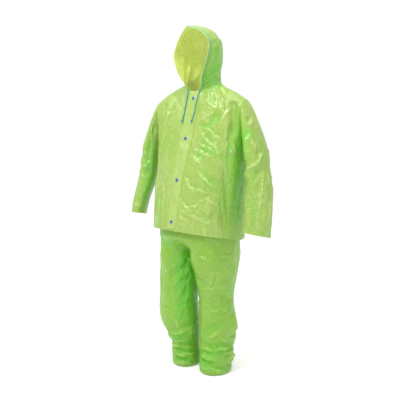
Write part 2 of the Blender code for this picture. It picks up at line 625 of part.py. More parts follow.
def row_at(column, height):
    """The cell of a column of points, and the share across it, that lie at a height above ground."""
    heights = column[:, 2] + HOLD_HEIGHT
    cell = int(np.searchsorted(heights, height)) - 1
    return cell, (height - heights[cell]) / (heights[cell + 1] - heights[cell])


def build_placket(front_left, front_right, normals, parent):
    """The strip that covers the front opening, from the two fronts' first columns moved out."""
    points = np.stack([front_right[:, -2], front_left[:, 0], front_left[:, 1]], axis=1)
    facing = np.stack([normals["front_right"][:, -2], normals["front_left"][:, 0],
                       normals["front_left"][:, 1]], axis=1)
    points[0] += (points[1] - points[0]) * PLACKET_LIFT
    outer, inner = layer(points, facing, SEAM_GAP, SEAM_GAP + WALL)
    add_object("placket", wall_mesh("placket", outer, inner), JACKET_VINYL, parent)
    return outer[:, 1], facing[:, 1]


def snap_mesh():
    """A round snap head with a bevelled rim, standing on its own origin."""
    mesh = bpy.data.meshes.new("snap_head")
    shape = bmesh.new()
    bmesh.ops.create_cone(shape, cap_ends=True, segments=SNAP_SIDES, radius1=SNAP_RADIUS,
                          radius2=SNAP_RADIUS, depth=SNAP_TALL)
    bmesh.ops.translate(shape, verts=shape.verts, vec=(0.0, 0.0, SNAP_TALL / 2))
    rim = [edge for edge in shape.edges if all(vert.co.z > SNAP_TALL / 2 for vert in edge.verts)]
    bmesh.ops.bevel(shape, geom=rim, offset=SNAP_RIM, segments=2, profile=0.6, affect="EDGES")
    shape.to_mesh(mesh)
    shape.free()
    mesh.shade_smooth()
    mesh.set_sharp_from_angle(angle=SNAP_SHARP_ANGLE)
    return mesh


def build_snaps(column, facing, parent):
    """Four snaps on the placket's centre line, each turned to the cloth under it."""
    for number, height in enumerate(SNAP_HEIGHTS, start=1):
        cell, share = row_at(column, height)
        point = column[cell] * (1 - share) + column[cell + 1] * share
        normal = Vector(facing[cell] * (1 - share) + facing[cell + 1] * share).normalized()
        snap = add_object(f"snap_{number}", snap_mesh(), SNAP_BLUE, parent)
        snap.location = Vector(point) + normal * SEAM_GAP
        snap.rotation_mode = "QUATERNION"
        snap.rotation_quaternion = normal.to_track_quat("Z", "Y")


def build_casings(grids, normals, parent):
    """The folded-in hem that holds the drawcord, inside each hood panel's rim."""
    spans = {"left": np.s_[:, :2], "right": np.s_[:, -2:]}
    for side, span in spans.items():
        grid, facing = grids[f"hood_{side}"], normals[f"hood_{side}"]
        near = WALL + SEAM_GAP
        outer, inner = layer(grid, facing, -near - WALL, -near)
        ends = ("bottom", "top")
        name = f"hood_casing_{side}"
        walls = [pulled_in(face[span], facing[span], ends) for face in (outer, inner)]
        add_object(name, wall_mesh(name, *walls), JACKET_VINYL, parent)


def smooth_route(points, spacing):
    """Points at even distances along a smooth curve through a route's own points."""
    route = np.array(points)
    route[:, 2] -= HOLD_HEIGHT
    length = np.concatenate([[0.0], np.cumsum(np.linalg.norm(np.diff(route, axis=0), axis=1))])
    Stop = namedtuple("Stop", "run x y z")
    rows = [Stop(*row) for row in np.column_stack([length, route])]
    count = int(round(length[-1] / spacing)) + 1
    read = read_table(rows, "run", np.linspace(0.0, length[-1], count))
    return np.column_stack([read.x, read.y, read.z])


def build_cord(side, route, parent):
    """One free end of the hood's drawcord, with the knot that ends it."""
    points = smooth_route(route, CORD_SPACING)
    curve = bpy.data.curves.new(f"drawcord_{side}", "CURVE")
    curve.dimensions = "3D"
    curve.bevel_depth = CORD_DIAMETER / 2
    curve.bevel_resolution = 2
    curve.render_resolution_u = 0
    curve.use_fill_caps = True
    spline = curve.splines.new("POLY")
    spline.points.add(len(points) - 1)
    for slot, point in zip(spline.points, points):
        slot.co = (*point, 1.0)
    add_object(f"drawcord_{side}", curve, CORD_TEAL, parent)

    along = Vector(points[-1] - points[-2]).normalized()
    mesh = bpy.data.meshes.new(f"knot_{side}")
    shape = bmesh.new()
    bmesh.ops.create_uvsphere(shape, u_segments=12, v_segments=8, radius=KNOT_RADIUS)
    bmesh.ops.scale(shape, verts=shape.verts, vec=(1.0, 1.0, KNOT_TALL / 2 / KNOT_RADIUS))
    shape.to_mesh(mesh)
    shape.free()
    mesh.shade_smooth()
    knot = add_object(f"knot_{side}", mesh, CORD_TEAL, parent)
    knot.location = Vector(points[-1]) + along * (KNOT_TALL / 2 + SEAM_GAP)
    knot.rotation_mode = "QUATERNION"
    knot.rotation_quaternion = along.to_track_quat("Z", "Y")


def main():
    """Build the suit."""
    clear_scene()
    suit = bpy.data.objects.new("rain_suit", None)
    bpy.context.collection.objects.link(suit)
    jacket = folded(jacket_grids(), JACKET_FOLDS)
    facing = build_panels(jacket, JACKET_VINYL, suit)
    column, outward = build_placket(jacket["front_left"], jacket["front_right"], facing, suit)
    build_snaps(column, outward, suit)
    build_casings(jacket, facing, suit)
    build_cord("left", LEFT_CORD, suit)
    build_cord("right", RIGHT_CORD, suit)
    build_panels(folded(trouser_grids(), TROUSER_FOLDS), TROUSER_VINYL, suit)


main()
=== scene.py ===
"""Looks of a rain suit: a hooded jacket that snaps shut in front, and trousers, in translucent lime vinyl.

Sizes are in metres and heights in the tables are above the ground. The model's origin is at the
shoulders, its front faces -Y, and the wearer's left side is +X.
"""

from __future__ import annotations

import itertools
import logging
import math
from dataclasses import dataclass, field
from enum import Enum
from typing import NamedTuple

import bpy
import numpy as np
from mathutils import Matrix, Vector

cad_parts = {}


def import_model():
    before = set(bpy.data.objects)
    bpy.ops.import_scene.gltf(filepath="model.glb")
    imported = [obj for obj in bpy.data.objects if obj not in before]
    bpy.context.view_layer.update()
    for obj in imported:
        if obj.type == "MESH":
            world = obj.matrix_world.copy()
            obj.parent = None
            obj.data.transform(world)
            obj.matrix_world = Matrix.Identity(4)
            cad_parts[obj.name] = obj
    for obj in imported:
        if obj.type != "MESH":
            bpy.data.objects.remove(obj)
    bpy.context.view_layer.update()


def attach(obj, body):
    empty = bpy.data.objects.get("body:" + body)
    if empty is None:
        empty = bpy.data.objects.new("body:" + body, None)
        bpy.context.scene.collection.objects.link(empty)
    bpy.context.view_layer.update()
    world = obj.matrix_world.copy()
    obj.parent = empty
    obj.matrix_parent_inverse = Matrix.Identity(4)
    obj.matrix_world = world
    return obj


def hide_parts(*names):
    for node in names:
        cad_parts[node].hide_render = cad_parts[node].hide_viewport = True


log = logging.getLogger("rain_suit")
Array = np.ndarray
Triple = tuple[float, float, float]
Colour = Triple
Grids = dict[str, Array]

HOLD_HEIGHT = 1.42
FILM = 0.0009
DOUBLE_FILM = 0.0018
LAYER_GAP = 0.0003
SAME_POINT = 0.00001
TINY = 1e-12
STEPS = 8
NO_EDGE = 1.0
SHARP_EDGE = math.radians(70.0)


class BodySection(NamedTuple):
    """One level of the jacket's body or of the trousers' hips."""

    height: float
    half_width: float
    front: float
    back: float
    square: float


class SleeveSection(NamedTuple):
    """One ring of a sleeve, from its inner to its outer point."""

    share: float
    inner_x: float
    inner_height: float
    outer_x: float
    outer_height: float
    centre_y: float
    half_depth: float
    twist: float
    tilt: float


class HoodSection(NamedTuple):
    """One level of the hood: its rim, and how far back its centre seam lies."""

    share: float
    rim_x: float
    rim_y: float
    back_y: float
    bulge: float


class LegSection(NamedTuple):
    """One ring of a trouser leg."""

    height: float
    centre_x: float
    centre_y: float
    half_width: float
    half_depth: float


class CordStop(NamedTuple):
    """A point of a cord's route and the length of cord up to it."""

    run: float
    x: float
    y: float
    z: float


class Crease(NamedTuple):
    """A soft trough (depth below 0) or ridge along a line between two points (x, y, height)."""

    start: Triple
    end: Triple
    width: float
    depth: float


class Patch(NamedTuple):
    """A soft patch of painted shade on the film, deeper green; below 0 it is painted light, paler."""

    centre: Triple
    reach: Triple
    deep: float


BODY = [
    BodySection(0.690, 0.234, 0.226, 0.148, 2.3),
    BodySection(0.800, 0.236, 0.207, 0.145, 2.3),
    BodySection(0.920, 0.241, 0.181, 0.142, 2.4),
    BodySection(1.050, 0.247, 0.149, 0.136, 2.5),
    BodySection(1.165, 0.256, 0.116, 0.130, 2.6),
]
SLEEVE = [
    SleeveSection(0.00, 0.316, 0.758, 0.422, 0.752, -0.062, 0.056, 0.36, 0.26),
    SleeveSection(0.12, 0.312, 0.816, 0.421, 0.812, -0.052, 0.057, 0.34, 0.20),
    SleeveSection(0.26, 0.306, 0.884, 0.416, 0.886, -0.039, 0.058, 0.30, 0.12),
    SleeveSection(0.40, 0.300, 0.950, 0.406, 0.960, -0.025, 0.060, 0.22, 0.05),
    SleeveSection(0.54, 0.293, 1.018, 0.390, 1.042, -0.014, 0.066, 0.12, 0.00),
    SleeveSection(0.68, 0.284, 1.074, 0.369, 1.128, -0.005, 0.073, 0.04, 0.00),
    SleeveSection(0.82, 0.278, 1.112, 0.340, 1.218, 0.002, 0.079, 0.00, 0.00),
    SleeveSection(1.00, 0.274, 1.140, 0.322, 1.295, 0.004, 0.082, 0.00, 0.00),
]
HOOD = [
    HoodSection(0.00, 0.034, -0.056, 0.088, 0.040),
    HoodSection(0.17, 0.062, -0.080, 0.096, 0.030),
    HoodSection(0.35, 0.086, -0.090, 0.104, 0.024),
    HoodSection(0.58, 0.106, -0.086, 0.101, 0.016),
    HoodSection(0.78, 0.096, -0.074, 0.092, 0.012),
    HoodSection(0.90, 0.066, -0.078, 0.072, 0.008),
    HoodSection(0.96, 0.038, -0.092, 0.056, 0.004),
    HoodSection(1.00, 0.000, -0.114, 0.038, 0.000),
]
HIPS = [
    BodySection(0.600, 0.204, 0.190, 0.134, 2.2),
    BodySection(0.720, 0.207, 0.194, 0.126, 2.3),
    BodySection(0.820, 0.198, 0.166, 0.118, 2.3),
    BodySection(0.920, 0.184, 0.138, 0.112, 2.2),
    BodySection(1.040, 0.166, 0.116, 0.104, 2.1),
]
LEFT_LEG = [
    LegSection(0.006, 0.084, 0.008, 0.078, 0.090),
    LegSection(0.050, 0.085, 0.009, 0.081, 0.092),
    LegSection(0.120, 0.087, 0.012, 0.083, 0.094),
    LegSection(0.250, 0.095, 0.010, 0.092, 0.102),
    LegSection(0.400, 0.098, -0.008, 0.087, 0.094),
    LegSection(0.510, 0.104, -0.014, 0.096, 0.120),
    LegSection(0.590, 0.102, -0.016, 0.102, 0.150),
    LegSection(0.780, 0.102, -0.020, 0.102, 0.160),
]
RIGHT_LEG = [
    LegSection(0.006, 0.094, -0.014, 0.072, 0.078),
    LegSection(0.050, 0.095, -0.015, 0.074, 0.078),
    LegSection(0.120, 0.094, -0.020, 0.072, 0.078),
    LegSection(0.250, 0.110, -0.047, 0.100, 0.102),
    LegSection(0.400, 0.110, -0.049, 0.098, 0.105),
    LegSection(0.510, 0.107, -0.034, 0.100, 0.122),
    LegSection(0.590, 0.102, -0.016, 0.102, 0.150),
    LegSection(0.780, 0.102, -0.020, 0.102, 0.160),
]
LEFT_CORD = [
    (0.0335, -0.0582, 1.4150), (0.0322, -0.0593, 1.4050), (0.0270, -0.0655, 1.3830),
    (0.0230, -0.0741, 1.3500), (0.0215, -0.0845, 1.3090), (0.0170, -0.0915, 1.2830),
    (0.0150, -0.0955, 1.2720),
]
RIGHT_CORD = [
    (-0.0370, -0.0597, 1.4170), (-0.0388, -0.0575, 1.4070), (-0.0405, -0.0629, 1.3830),
    (-0.0410, -0.0720, 1.3480), (-0.0435, -0.0831, 1.3050), (-0.0450, -0.0895, 1.2830),
    (-0.0455, -0.0936, 1.2710),
]

# Large folds, as the model's solids have them.
JACKET_FOLDS = [Crease(*row) for row in (
    ((0.222, -0.05, 1.345), (0.24, -0.07, 1.215), 0.016, -0.012),
    ((0.196, -0.055, 1.35), (0.205, -0.09, 1.2), 0.02, 0.006),
    ((-0.191, -0.058, 1.344), (-0.212, -0.081, 1.195), 0.018, -0.01),
    ((-0.15, -0.06, 1.35), (-0.175, -0.11, 1.12), 0.02, 0.006),
    ((-0.17, -0.11, 1.13), (-0.15, -0.16, 0.98), 0.022, -0.006),
    ((0.145, -0.08, 1.281), (0.1, -0.125, 1.12), 0.022, -0.006),
    ((0.134, -0.114, 1.135), (0.15, -0.15, 0.96), 0.024, 0.007),
    ((0.215, -0.09, 1.1), (0.225, -0.1, 0.78), 0.024, -0.008),
    ((0.18, -0.15, 0.9), (0.165, -0.175, 0.74), 0.022, 0.006),
    ((-0.2, -0.11, 0.96), (-0.195, -0.135, 0.74), 0.024, 0.006),
    ((0.205, 0.09, 1.29), (0.13, 0.125, 1.08), 0.022, -0.01),
    ((-0.2, 0.09, 1.27), (-0.11, 0.125, 1.05), 0.024, -0.009),
    ((0.09, 0.13, 1.02), (0.12, 0.14, 0.74), 0.026, 0.008),
    ((-0.06, 0.135, 0.98), (-0.09, 0.145, 0.72), 0.024, 0.007),
    ((0.01, 0.135, 1.0), (0.0, 0.145, 0.73), 0.026, -0.006),
    ((0.21, 0.08, 0.96), (0.215, 0.09, 0.74), 0.022, -0.007),
    ((-0.205, 0.085, 1.0), (-0.21, 0.09, 0.76), 0.024, -0.007),
    ((0.37, -0.03, 1.14), (0.3, -0.065, 1.07), 0.015, -0.009),
    ((0.38, -0.05, 1.085), (0.31, -0.07, 1.03), 0.014, 0.006),
    ((0.377, -0.06, 1.044), (0.305, -0.068, 0.975), 0.015, -0.009),
    ((0.385, -0.065, 1.01), (0.385, -0.11, 0.79), 0.015, -0.006),
    ((0.33, 0.07, 1.15), (0.3, 0.06, 1.04), 0.017, -0.008),
    ((0.38, 0.045, 1.06), (0.33, 0.06, 0.99), 0.016, -0.008),
    ((0.395, 0.03, 0.96), (0.39, 0.0, 0.8), 0.016, 0.006),
    ((-0.266, -0.06, 1.23), (-0.315, -0.066, 1.07), 0.016, -0.007),
    ((-0.38, -0.05, 1.03), (-0.31, -0.072, 1.0), 0.015, -0.008),
    ((-0.365, -0.06, 1.1), (-0.3, -0.07, 1.06), 0.015, -0.007),
    ((-0.385, -0.07, 0.98), (-0.37, -0.12, 0.84), 0.016, -0.006),
    ((-0.34, 0.07, 1.13), (-0.3, 0.06, 1.02), 0.017, -0.008),
    ((-0.385, 0.04, 1.02), (-0.33, 0.055, 0.95), 0.016, -0.008),
    ((0.062, -0.062, 1.47), (0.108, -0.02, 1.59), 0.012, -0.007),
    ((0.075, -0.04, 1.455), (0.11, 0.04, 1.545), 0.012, -0.008),
    ((0.085, 0.02, 1.455), (0.08, 0.08, 1.52), 0.012, -0.006),
    ((0.104, -0.045, 1.62), (0.07, 0.05, 1.67), 0.013, -0.006),
    ((-0.062, -0.062, 1.475), (-0.106, -0.015, 1.57), 0.012, -0.007),
    ((-0.078, -0.03, 1.455), (-0.108, 0.045, 1.56), 0.013, -0.008),
    ((-0.085, 0.03, 1.46), (-0.07, 0.085, 1.53), 0.012, -0.006),
    ((-0.1, -0.04, 1.64), (-0.06, 0.06, 1.68), 0.014, -0.006),
)]
TROUSER_FOLDS = [Crease(*row) for row in (
    ((-0.012, -0.09, 0.575), (-0.078, -0.143, 0.5), 0.016, -0.012),
    ((-0.011, -0.08, 0.5), (-0.085, -0.143, 0.44), 0.018, -0.007),
    ((-0.02, -0.09, 0.42), (-0.1, -0.14, 0.34), 0.018, -0.006),
    ((-0.15, -0.13, 0.62), (-0.14, -0.135, 0.41), 0.016, -0.01),
    ((-0.195, -0.04, 0.43), (-0.195, -0.05, 0.33), 0.022, 0.01),
    ((-0.19, -0.06, 0.3), (-0.12, -0.12, 0.27), 0.018, 0.008),
    ((-0.15, -0.08, 0.15), (-0.02, -0.06, 0.2), 0.018, 0.01),
    ((-0.15, -0.06, 0.11), (-0.02, -0.05, 0.13), 0.012, -0.01),
    ((-0.14, -0.06, 0.075), (-0.03, -0.07, 0.09), 0.013, 0.008),
    ((-0.13, -0.065, 0.048), (-0.03, -0.065, 0.058), 0.01, -0.009),
    ((-0.155, -0.02, 0.03), (-0.06, -0.078, 0.025), 0.014, 0.01),
    ((-0.15, 0.04, 0.12), (-0.03, 0.07, 0.14), 0.014, -0.01),
    ((-0.15, 0.04, 0.165), (-0.04, 0.065, 0.185), 0.015, 0.008),
    ((-0.14, 0.05, 0.07), (-0.03, 0.07, 0.06), 0.012, -0.009),
    ((0.03, -0.08, 0.56), (0.11, -0.13, 0.5), 0.018, -0.006),
    ((0.133, -0.12, 0.7), (0.14, -0.1, 0.38), 0.014, 0.006),
    ((0.17, -0.08, 0.43), (0.19, 0.01, 0.395), 0.014, -0.008),
    ((0.15, -0.09, 0.39), (0.185, -0.01, 0.34), 0.014, 0.006),
    ((0.185, 0.01, 0.29), (0.18, 0.04, 0.24), 0.022, 0.012),
    ((0.02, -0.04, 0.27), (0.1, -0.065, 0.165), 0.014, -0.01),
    ((0.1, -0.062, 0.165), (0.17, 0.0, 0.185), 0.014, -0.01),
    ((0.06, -0.06, 0.145), (0.16, -0.02, 0.13), 0.014, 0.009),
    ((0.04, -0.05, 0.095), (0.165, -0.01, 0.105), 0.011, -0.01),
    ((0.05, -0.055, 0.068), (0.165, 0.0, 0.075), 0.011, 0.008),
    ((0.06, -0.055, 0.038), (0.165, 0.01, 0.045), 0.01, -0.009),
    ((0.172, 0.04, 0.11), (0.168, 0.06, 0.07), 0.02, 0.01),
    ((0.03, 0.095, 0.14), (0.15, 0.09, 0.115), 0.014, -0.01),
    ((0.04, 0.1, 0.18), (0.15, 0.09, 0.165), 0.015, 0.008),
    ((0.03, 0.1, 0.07), (0.14, 0.1, 0.06), 0.012, -0.009),
    ((0.11, 0.11, 0.56), (0.03, 0.12, 0.48), 0.02, -0.008),
    ((-0.11, 0.11, 0.57), (-0.03, 0.1, 0.49), 0.02, -0.008),
    ((0.15, 0.08, 0.42), (0.04, 0.085, 0.36), 0.018, -0.007),
    ((-0.16, 0.05, 0.42), (-0.05, 0.06, 0.35), 0.018, -0.007),
)]

# Smaller creases of the jacket: the right front, the left front, the sleeves, the hood and the back.
JACKET_CREASES = [Crease(*row) for row in (
    ((0.03, -0.15, 1.12), (0.11, -0.13, 1.06), 0.006, 0.004),
    ((0.05, -0.155, 1.08), (0.15, -0.12, 1.13), 0.006, 0.0036),
    ((0.09, -0.145, 1.03), (0.17, -0.115, 0.96), 0.006, 0.0038),
    ((0.02, -0.17, 1.01), (0.09, -0.155, 0.93), 0.006, 0.004),
    ((0.05, -0.165, 0.96), (0.17, -0.12, 0.93), 0.006, 0.0036),
    ((0.12, -0.14, 0.92), (0.2, -0.08, 0.86), 0.006, 0.0036),
    ((0.01, -0.175, 0.9), (0.08, -0.16, 0.84), 0.006, 0.004),
    ((0.04, -0.17, 0.86), (0.12, -0.145, 0.88), 0.005, 0.0036),
    ((0.07, -0.165, 0.83), (0.16, -0.13, 0.79), 0.006, 0.0036),
    ((0.13, -0.14, 0.86), (0.15, -0.135, 0.76), 0.006, -0.004),
    ((0.18, -0.1, 1.0), (0.19, -0.095, 0.8), 0.007, -0.004),
    ((0.06, -0.11, 1.23), (0.13, -0.105, 1.16), 0.006, 0.004),
    ((0.1, -0.105, 1.24), (0.19, -0.08, 1.17), 0.006, 0.0036),
    ((0.07, -0.13, 1.15), (0.18, -0.095, 1.1), 0.007, -0.004),
    ((0.15, -0.1, 1.19), (0.19, -0.085, 1.06), 0.006, 0.0036),
    ((-0.15, -0.12, 1.0), (-0.09, -0.16, 0.93), 0.006, 0.0036),
    ((-0.18, -0.1, 0.96), (-0.12, -0.15, 0.86), 0.006, 0.0036),
    ((-0.17, -0.11, 0.86), (-0.1, -0.16, 0.8), 0.006, -0.0036),
    ((-0.188, -0.054, 1.344), (-0.207, -0.065, 1.27), 0.007, 0.003),
    ((-0.172, -0.058, 1.35), (-0.18, -0.092, 1.215), 0.006, 0.0028),
    ((-0.152, -0.064, 1.344), (-0.157, -0.097, 1.221), 0.006, 0.0026),
    ((-0.132, -0.072, 1.319), (-0.202, -0.087, 1.17), 0.006, 0.003),
    ((-0.116, -0.06, 1.353), (-0.139, -0.095, 1.231), 0.008, -0.0035),
    ((-0.1, -0.063, 1.348), (-0.15, -0.098, 1.217), 0.006, 0.0026),
    ((-0.156, -0.075, 1.309), (-0.108, -0.069, 1.329), 0.008, -0.003),
    ((-0.093, -0.095, 1.242), (-0.132, -0.134, 1.057), 0.006, 0.0034),
    ((-0.105, -0.1, 1.225), (-0.145, -0.132, 1.06), 0.009, -0.004),
    ((-0.15, -0.098, 1.217), (-0.177, -0.106, 1.127), 0.006, 0.003),
    ((-0.128, -0.138, 1.042), (-0.069, -0.16, 0.999), 0.006, 0.0026),
    ((-0.075, -0.11, 1.18), (-0.1, -0.135, 1.07), 0.01, -0.003),
    ((-0.173, -0.127, 1.014), (-0.15, -0.16, 0.9), 0.007, 0.003),
    ((-0.101, -0.162, 0.973), (-0.085, -0.195, 0.787), 0.007, 0.0026),
    ((-0.137, -0.159, 0.94), (-0.12, -0.195, 0.772), 0.007, 0.003),
    ((-0.12, -0.165, 0.94), (-0.104, -0.198, 0.772), 0.007, -0.003),
    ((-0.16, -0.15, 0.93), (-0.145, -0.18, 0.76), 0.008, -0.0034),
    ((-0.15, -0.162, 0.878), (-0.044, -0.19, 0.888), 0.005, 0.002),
    ((0.073, -0.179, 0.896), (0.182, -0.137, 0.894), 0.005, 0.002),
    ((-0.04, -0.185, 0.889), (0.02, -0.184, 0.894), 0.005, 0.0016),
    ((0.067, -0.124, 1.126), (0.085, -0.172, 0.9), 0.004, 0.0022),
    ((0.203, -0.104, 0.925), (0.201, -0.123, 0.754), 0.004, -0.0024),
    ((0.209, -0.096, 0.859), (0.215, -0.087, 0.788), 0.004, 0.0022),
    ((0.209, -0.096, 0.859), (0.236, -0.05, 0.853), 0.004, 0.0022),
    ((0.221, -0.076, 0.866), (0.238, -0.03, 0.88), 0.006, -0.0026),
    ((0.025, -0.146, 1.061), (0.065, -0.148, 1.041), 0.005, 0.002),
    ((0.033, -0.16, 1.002), (0.07, -0.161, 0.981), 0.005, 0.0022),
    ((0.067, -0.124, 1.126), (0.168, -0.113, 1.102), 0.007, 0.0026),
    ((0.066, -0.126, 1.112), (0.13, -0.12, 1.085), 0.008, -0.0026),
    ((0.109, -0.146, 1.029), (0.177, -0.131, 0.954), 0.006, 0.0026),
    ((0.12, -0.142, 1.034), (0.185, -0.118, 0.972), 0.009, -0.003),
    ((0.102, -0.174, 0.889), (0.182, -0.13, 0.931), 0.006, 0.0024),
    ((0.015, -0.199, 0.834), (0.087, -0.196, 0.789), 0.006, 0.0026),
    ((0.02, -0.196, 0.846), (0.06, -0.192, 0.85), 0.005, 0.0024),
    ((0.108, -0.174, 0.88), (0.175, -0.15, 0.835), 0.006, 0.0024),
    ((0.129, -0.174, 0.837), (0.186, -0.141, 0.788), 0.007, 0.0028),
    ((0.153, -0.167, 0.806), (0.19, -0.132, 0.853), 0.006, -0.0026),
    ((0.085, -0.185, 0.86), (0.11, -0.184, 0.77), 0.006, 0.0022),
    ((0.117, -0.01, 1.43), (0.179, -0.045, 1.382), 0.01, 0.004),
    ((0.15, -0.052, 1.372), (0.165, -0.066, 1.315), 0.008, 0.0034),
    ((0.165, -0.05, 1.37), (0.185, -0.07, 1.31), 0.009, -0.0036),
    ((0.145, -0.069, 1.315), (0.119, -0.088, 1.245), 0.012, -0.006),
    ((0.16, -0.07, 1.3), (0.15, -0.085, 1.255), 0.009, -0.004),
    ((0.168, -0.082, 1.262), (0.219, -0.05, 1.33), 0.008, 0.005),
    ((0.071, -0.1, 1.222), (0.165, -0.084, 1.25), 0.006, 0.003),
    ((0.06, -0.092, 1.255), (0.125, -0.09, 1.232), 0.008, -0.003),
    ((0.085, -0.103, 1.205), (0.121, -0.091, 1.226), 0.006, 0.0026),
    ((0.102, -0.104, 1.18), (0.172, -0.103, 1.136), 0.006, 0.0034),
    ((0.172, -0.103, 1.136), (0.189, -0.1, 1.09), 0.007, 0.0034),
    ((0.112, -0.11, 1.168), (0.16, -0.108, 1.125), 0.01, -0.004),
    ((0.205, -0.07, 1.255), (0.205, -0.085, 1.097), 0.006, 0.004),
    ((0.205, -0.085, 1.097), (0.214, -0.084, 0.99), 0.006, 0.0034),
    ((0.218, -0.07, 1.2), (0.22, -0.075, 1.05), 0.008, -0.004),
    ((0.235, -0.06, 1.168), (0.241, -0.051, 1.111), 0.007, 0.0034),
    ((0.108, -0.148, 1.02), (0.174, -0.135, 0.94), 0.008, -0.003),
    ((0.217, -0.08, 1.008), (0.232, -0.055, 0.93), 0.006, 0.003),
    ((0.241, -0.014, 0.947), (0.234, -0.033, 0.782), 0.01, -0.004),
    ((0.059, -0.058, 1.379), (0.126, -0.067, 1.327), 0.008, 0.0028),
    ((0.081, -0.048, 1.397), (0.089, -0.065, 1.346), 0.009, 0.0028),
    ((0.11, -0.045, 1.39), (0.108, -0.065, 1.34), 0.01, -0.003),
    ((-0.158, -0.042, 1.388), (-0.1, -0.063, 1.348), 0.008, 0.003),
    ((-0.105, -0.042, 1.397), (-0.09, -0.066, 1.345), 0.008, -0.003),
    ((-0.075, -0.048, 1.4), (-0.06, -0.07, 1.34), 0.009, 0.0026),
    ((0.289, -0.057, 1.269), (0.309, -0.046, 1.251), 0.006, 0.004),
    ((0.309, -0.046, 1.251), (0.31, -0.018, 1.277), 0.006, 0.004),
    ((0.3, -0.042, 1.272), (0.302, -0.03, 1.285), 0.008, -0.004),
    ((0.318, -0.05, 1.233), (0.292, -0.07, 1.18), 0.01, -0.005),
    ((0.364, -0.012, 1.133), (0.36, -0.055, 1.08), 0.007, 0.006),
    ((0.36, -0.055, 1.08), (0.32, -0.079, 1.056), 0.007, 0.005),
    ((0.375, -0.044, 1.046), (0.335, -0.079, 1.036), 0.008, -0.004),
    ((0.366, -0.062, 1.02), (0.338, -0.082, 0.975), 0.007, -0.0034),
    ((0.384, -0.033, 1.043), (0.39, -0.06, 0.946), 0.006, 0.0034),
    ((0.39, -0.06, 0.946), (0.388, -0.1, 0.784), 0.006, 0.0034),
    ((0.389, -0.015, 1.046), (0.399, -0.01, 0.99), 0.006, 0.0034),
    ((0.35, -0.083, 0.964), (0.37, -0.102, 0.81), 0.008, -0.0034),
    ((0.342, -0.03, 1.184), (0.372, -0.033, 1.1), 0.008, 0.003),
    ((0.321, -0.055, 1.207), (0.35, -0.049, 1.141), 0.009, 0.003),
    ((0.405, -0.02, 0.93), (0.412, -0.05, 0.8), 0.01, 0.003),
    ((-0.282, -0.06, 1.244), (-0.291, -0.055, 1.14), 0.007, 0.0034),
    ((-0.298, -0.06, 1.141), (-0.291, -0.039, 1.062), 0.007, 0.003),
    ((-0.319, -0.07, 1.063), (-0.298, -0.048, 0.984), 0.007, -0.0034),
    ((-0.358, -0.077, 0.99), (-0.305, -0.05, 0.962), 0.008, 0.003),
    ((-0.355, -0.096, 0.904), (-0.315, -0.06, 0.862), 0.008, -0.0034),
    ((-0.374, -0.105, 0.84), (-0.33, -0.09, 0.815), 0.008, 0.0026),
    ((-0.33, -0.078, 1.11), (-0.3, -0.06, 1.085), 0.007, 0.0034),
    ((-0.34, -0.08, 1.04), (-0.302, -0.055, 1.02), 0.007, 0.003),
    ((-0.385, -0.03, 0.98), (-0.4, -0.06, 0.83), 0.01, 0.0034),
    ((0.045, -0.064, 1.432), (0.084, 0.002, 1.503), 0.006, 0.004),
    ((0.084, 0.002, 1.503), (0.086, 0.036, 1.528), 0.006, 0.0036),
    ((0.062, -0.058, 1.457), (0.104, 0.003, 1.574), 0.008, -0.004),
    ((0.078, -0.07, 1.51), (0.107, -0.04, 1.6), 0.008, 0.0034),
    ((0.108, -0.008, 1.613), (0.108, -0.04, 1.579), 0.007, -0.004),
    ((0.1, 0.01, 1.56), (0.104, 0.03, 1.6), 0.008, -0.0034),
    ((0.043, -0.061, 1.43), (0.079, -0.014, 1.46), 0.006, -0.004),
    ((0.079, -0.014, 1.46), (0.08, 0.05, 1.462), 0.006, -0.0044),
    ((0.08, -0.016, 1.479), (0.079, 0.035, 1.491), 0.006, 0.0044),
    ((0.091, 0.035, 1.549), (0.085, 0.008, 1.506), 0.007, -0.0036),
    ((0.083, 0.027, 1.489), (0.076, 0.06, 1.46), 0.006, 0.004),
    ((0.099, -0.04, 1.652), (0.09, 0.04, 1.655), 0.01, 0.003),
    ((-0.045, -0.064, 1.434), (-0.082, 0.0, 1.5), 0.006, 0.004),
    ((-0.06, -0.058, 1.455), (-0.104, 0.0, 1.56), 0.008, -0.004),
    ((-0.079, -0.014, 1.46), (-0.078, 0.05, 1.464), 0.006, -0.0044),
    ((-0.08, -0.01, 1.48), (-0.078, 0.045, 1.494), 0.006, 0.004),
    ((-0.105, -0.03, 1.58), (-0.1, 0.04, 1.62), 0.009, 0.0034),
    ((0.03, 0.105, 1.5), (-0.03, 0.105, 1.56), 0.008, -0.003),
    ((0.02, 0.095, 1.47), (-0.04, 0.09, 1.48), 0.007, 0.0034),
    ((0.15, 0.11, 1.25), (0.06, 0.132, 1.12), 0.008, 0.004),
    ((-0.14, 0.112, 1.23), (-0.06, 0.135, 1.1), 0.008, 0.0036),
    ((0.18, 0.085, 1.33), (0.12, 0.1, 1.27), 0.008, 0.0034),
    ((-0.18, 0.085, 1.32), (-0.13, 0.1, 1.26), 0.009, 0.0034),
    ((0.04, 0.135, 1.08), (0.07, 0.142, 0.93), 0.007, 0.003),
    ((-0.02, 0.138, 1.06), (-0.05, 0.142, 0.9), 0.007, -0.0034),
    ((0.15, 0.125, 0.98), (0.16, 0.13, 0.78), 0.008, 0.0034),
    ((-0.15, 0.125, 0.96), (-0.155, 0.13, 0.77), 0.008, 0.0034),
    ((-0.19, 0.1, 0.905), (0.19, 0.1, 0.9), 0.004, 0.0018),
    ((0.0, 0.142, 1.32), (0.0, 0.142, 0.74), 0.004, 0.0016),
    ((0.12, 0.135, 0.86), (0.06, 0.142, 0.8), 0.006, 0.0028),
    ((-0.04, 0.142, 0.87), (-0.11, 0.138, 0.8), 0.006, 0.0028),
    ((0.37, 0.03, 1.15), (0.32, 0.075, 1.09), 0.007, 0.0044),
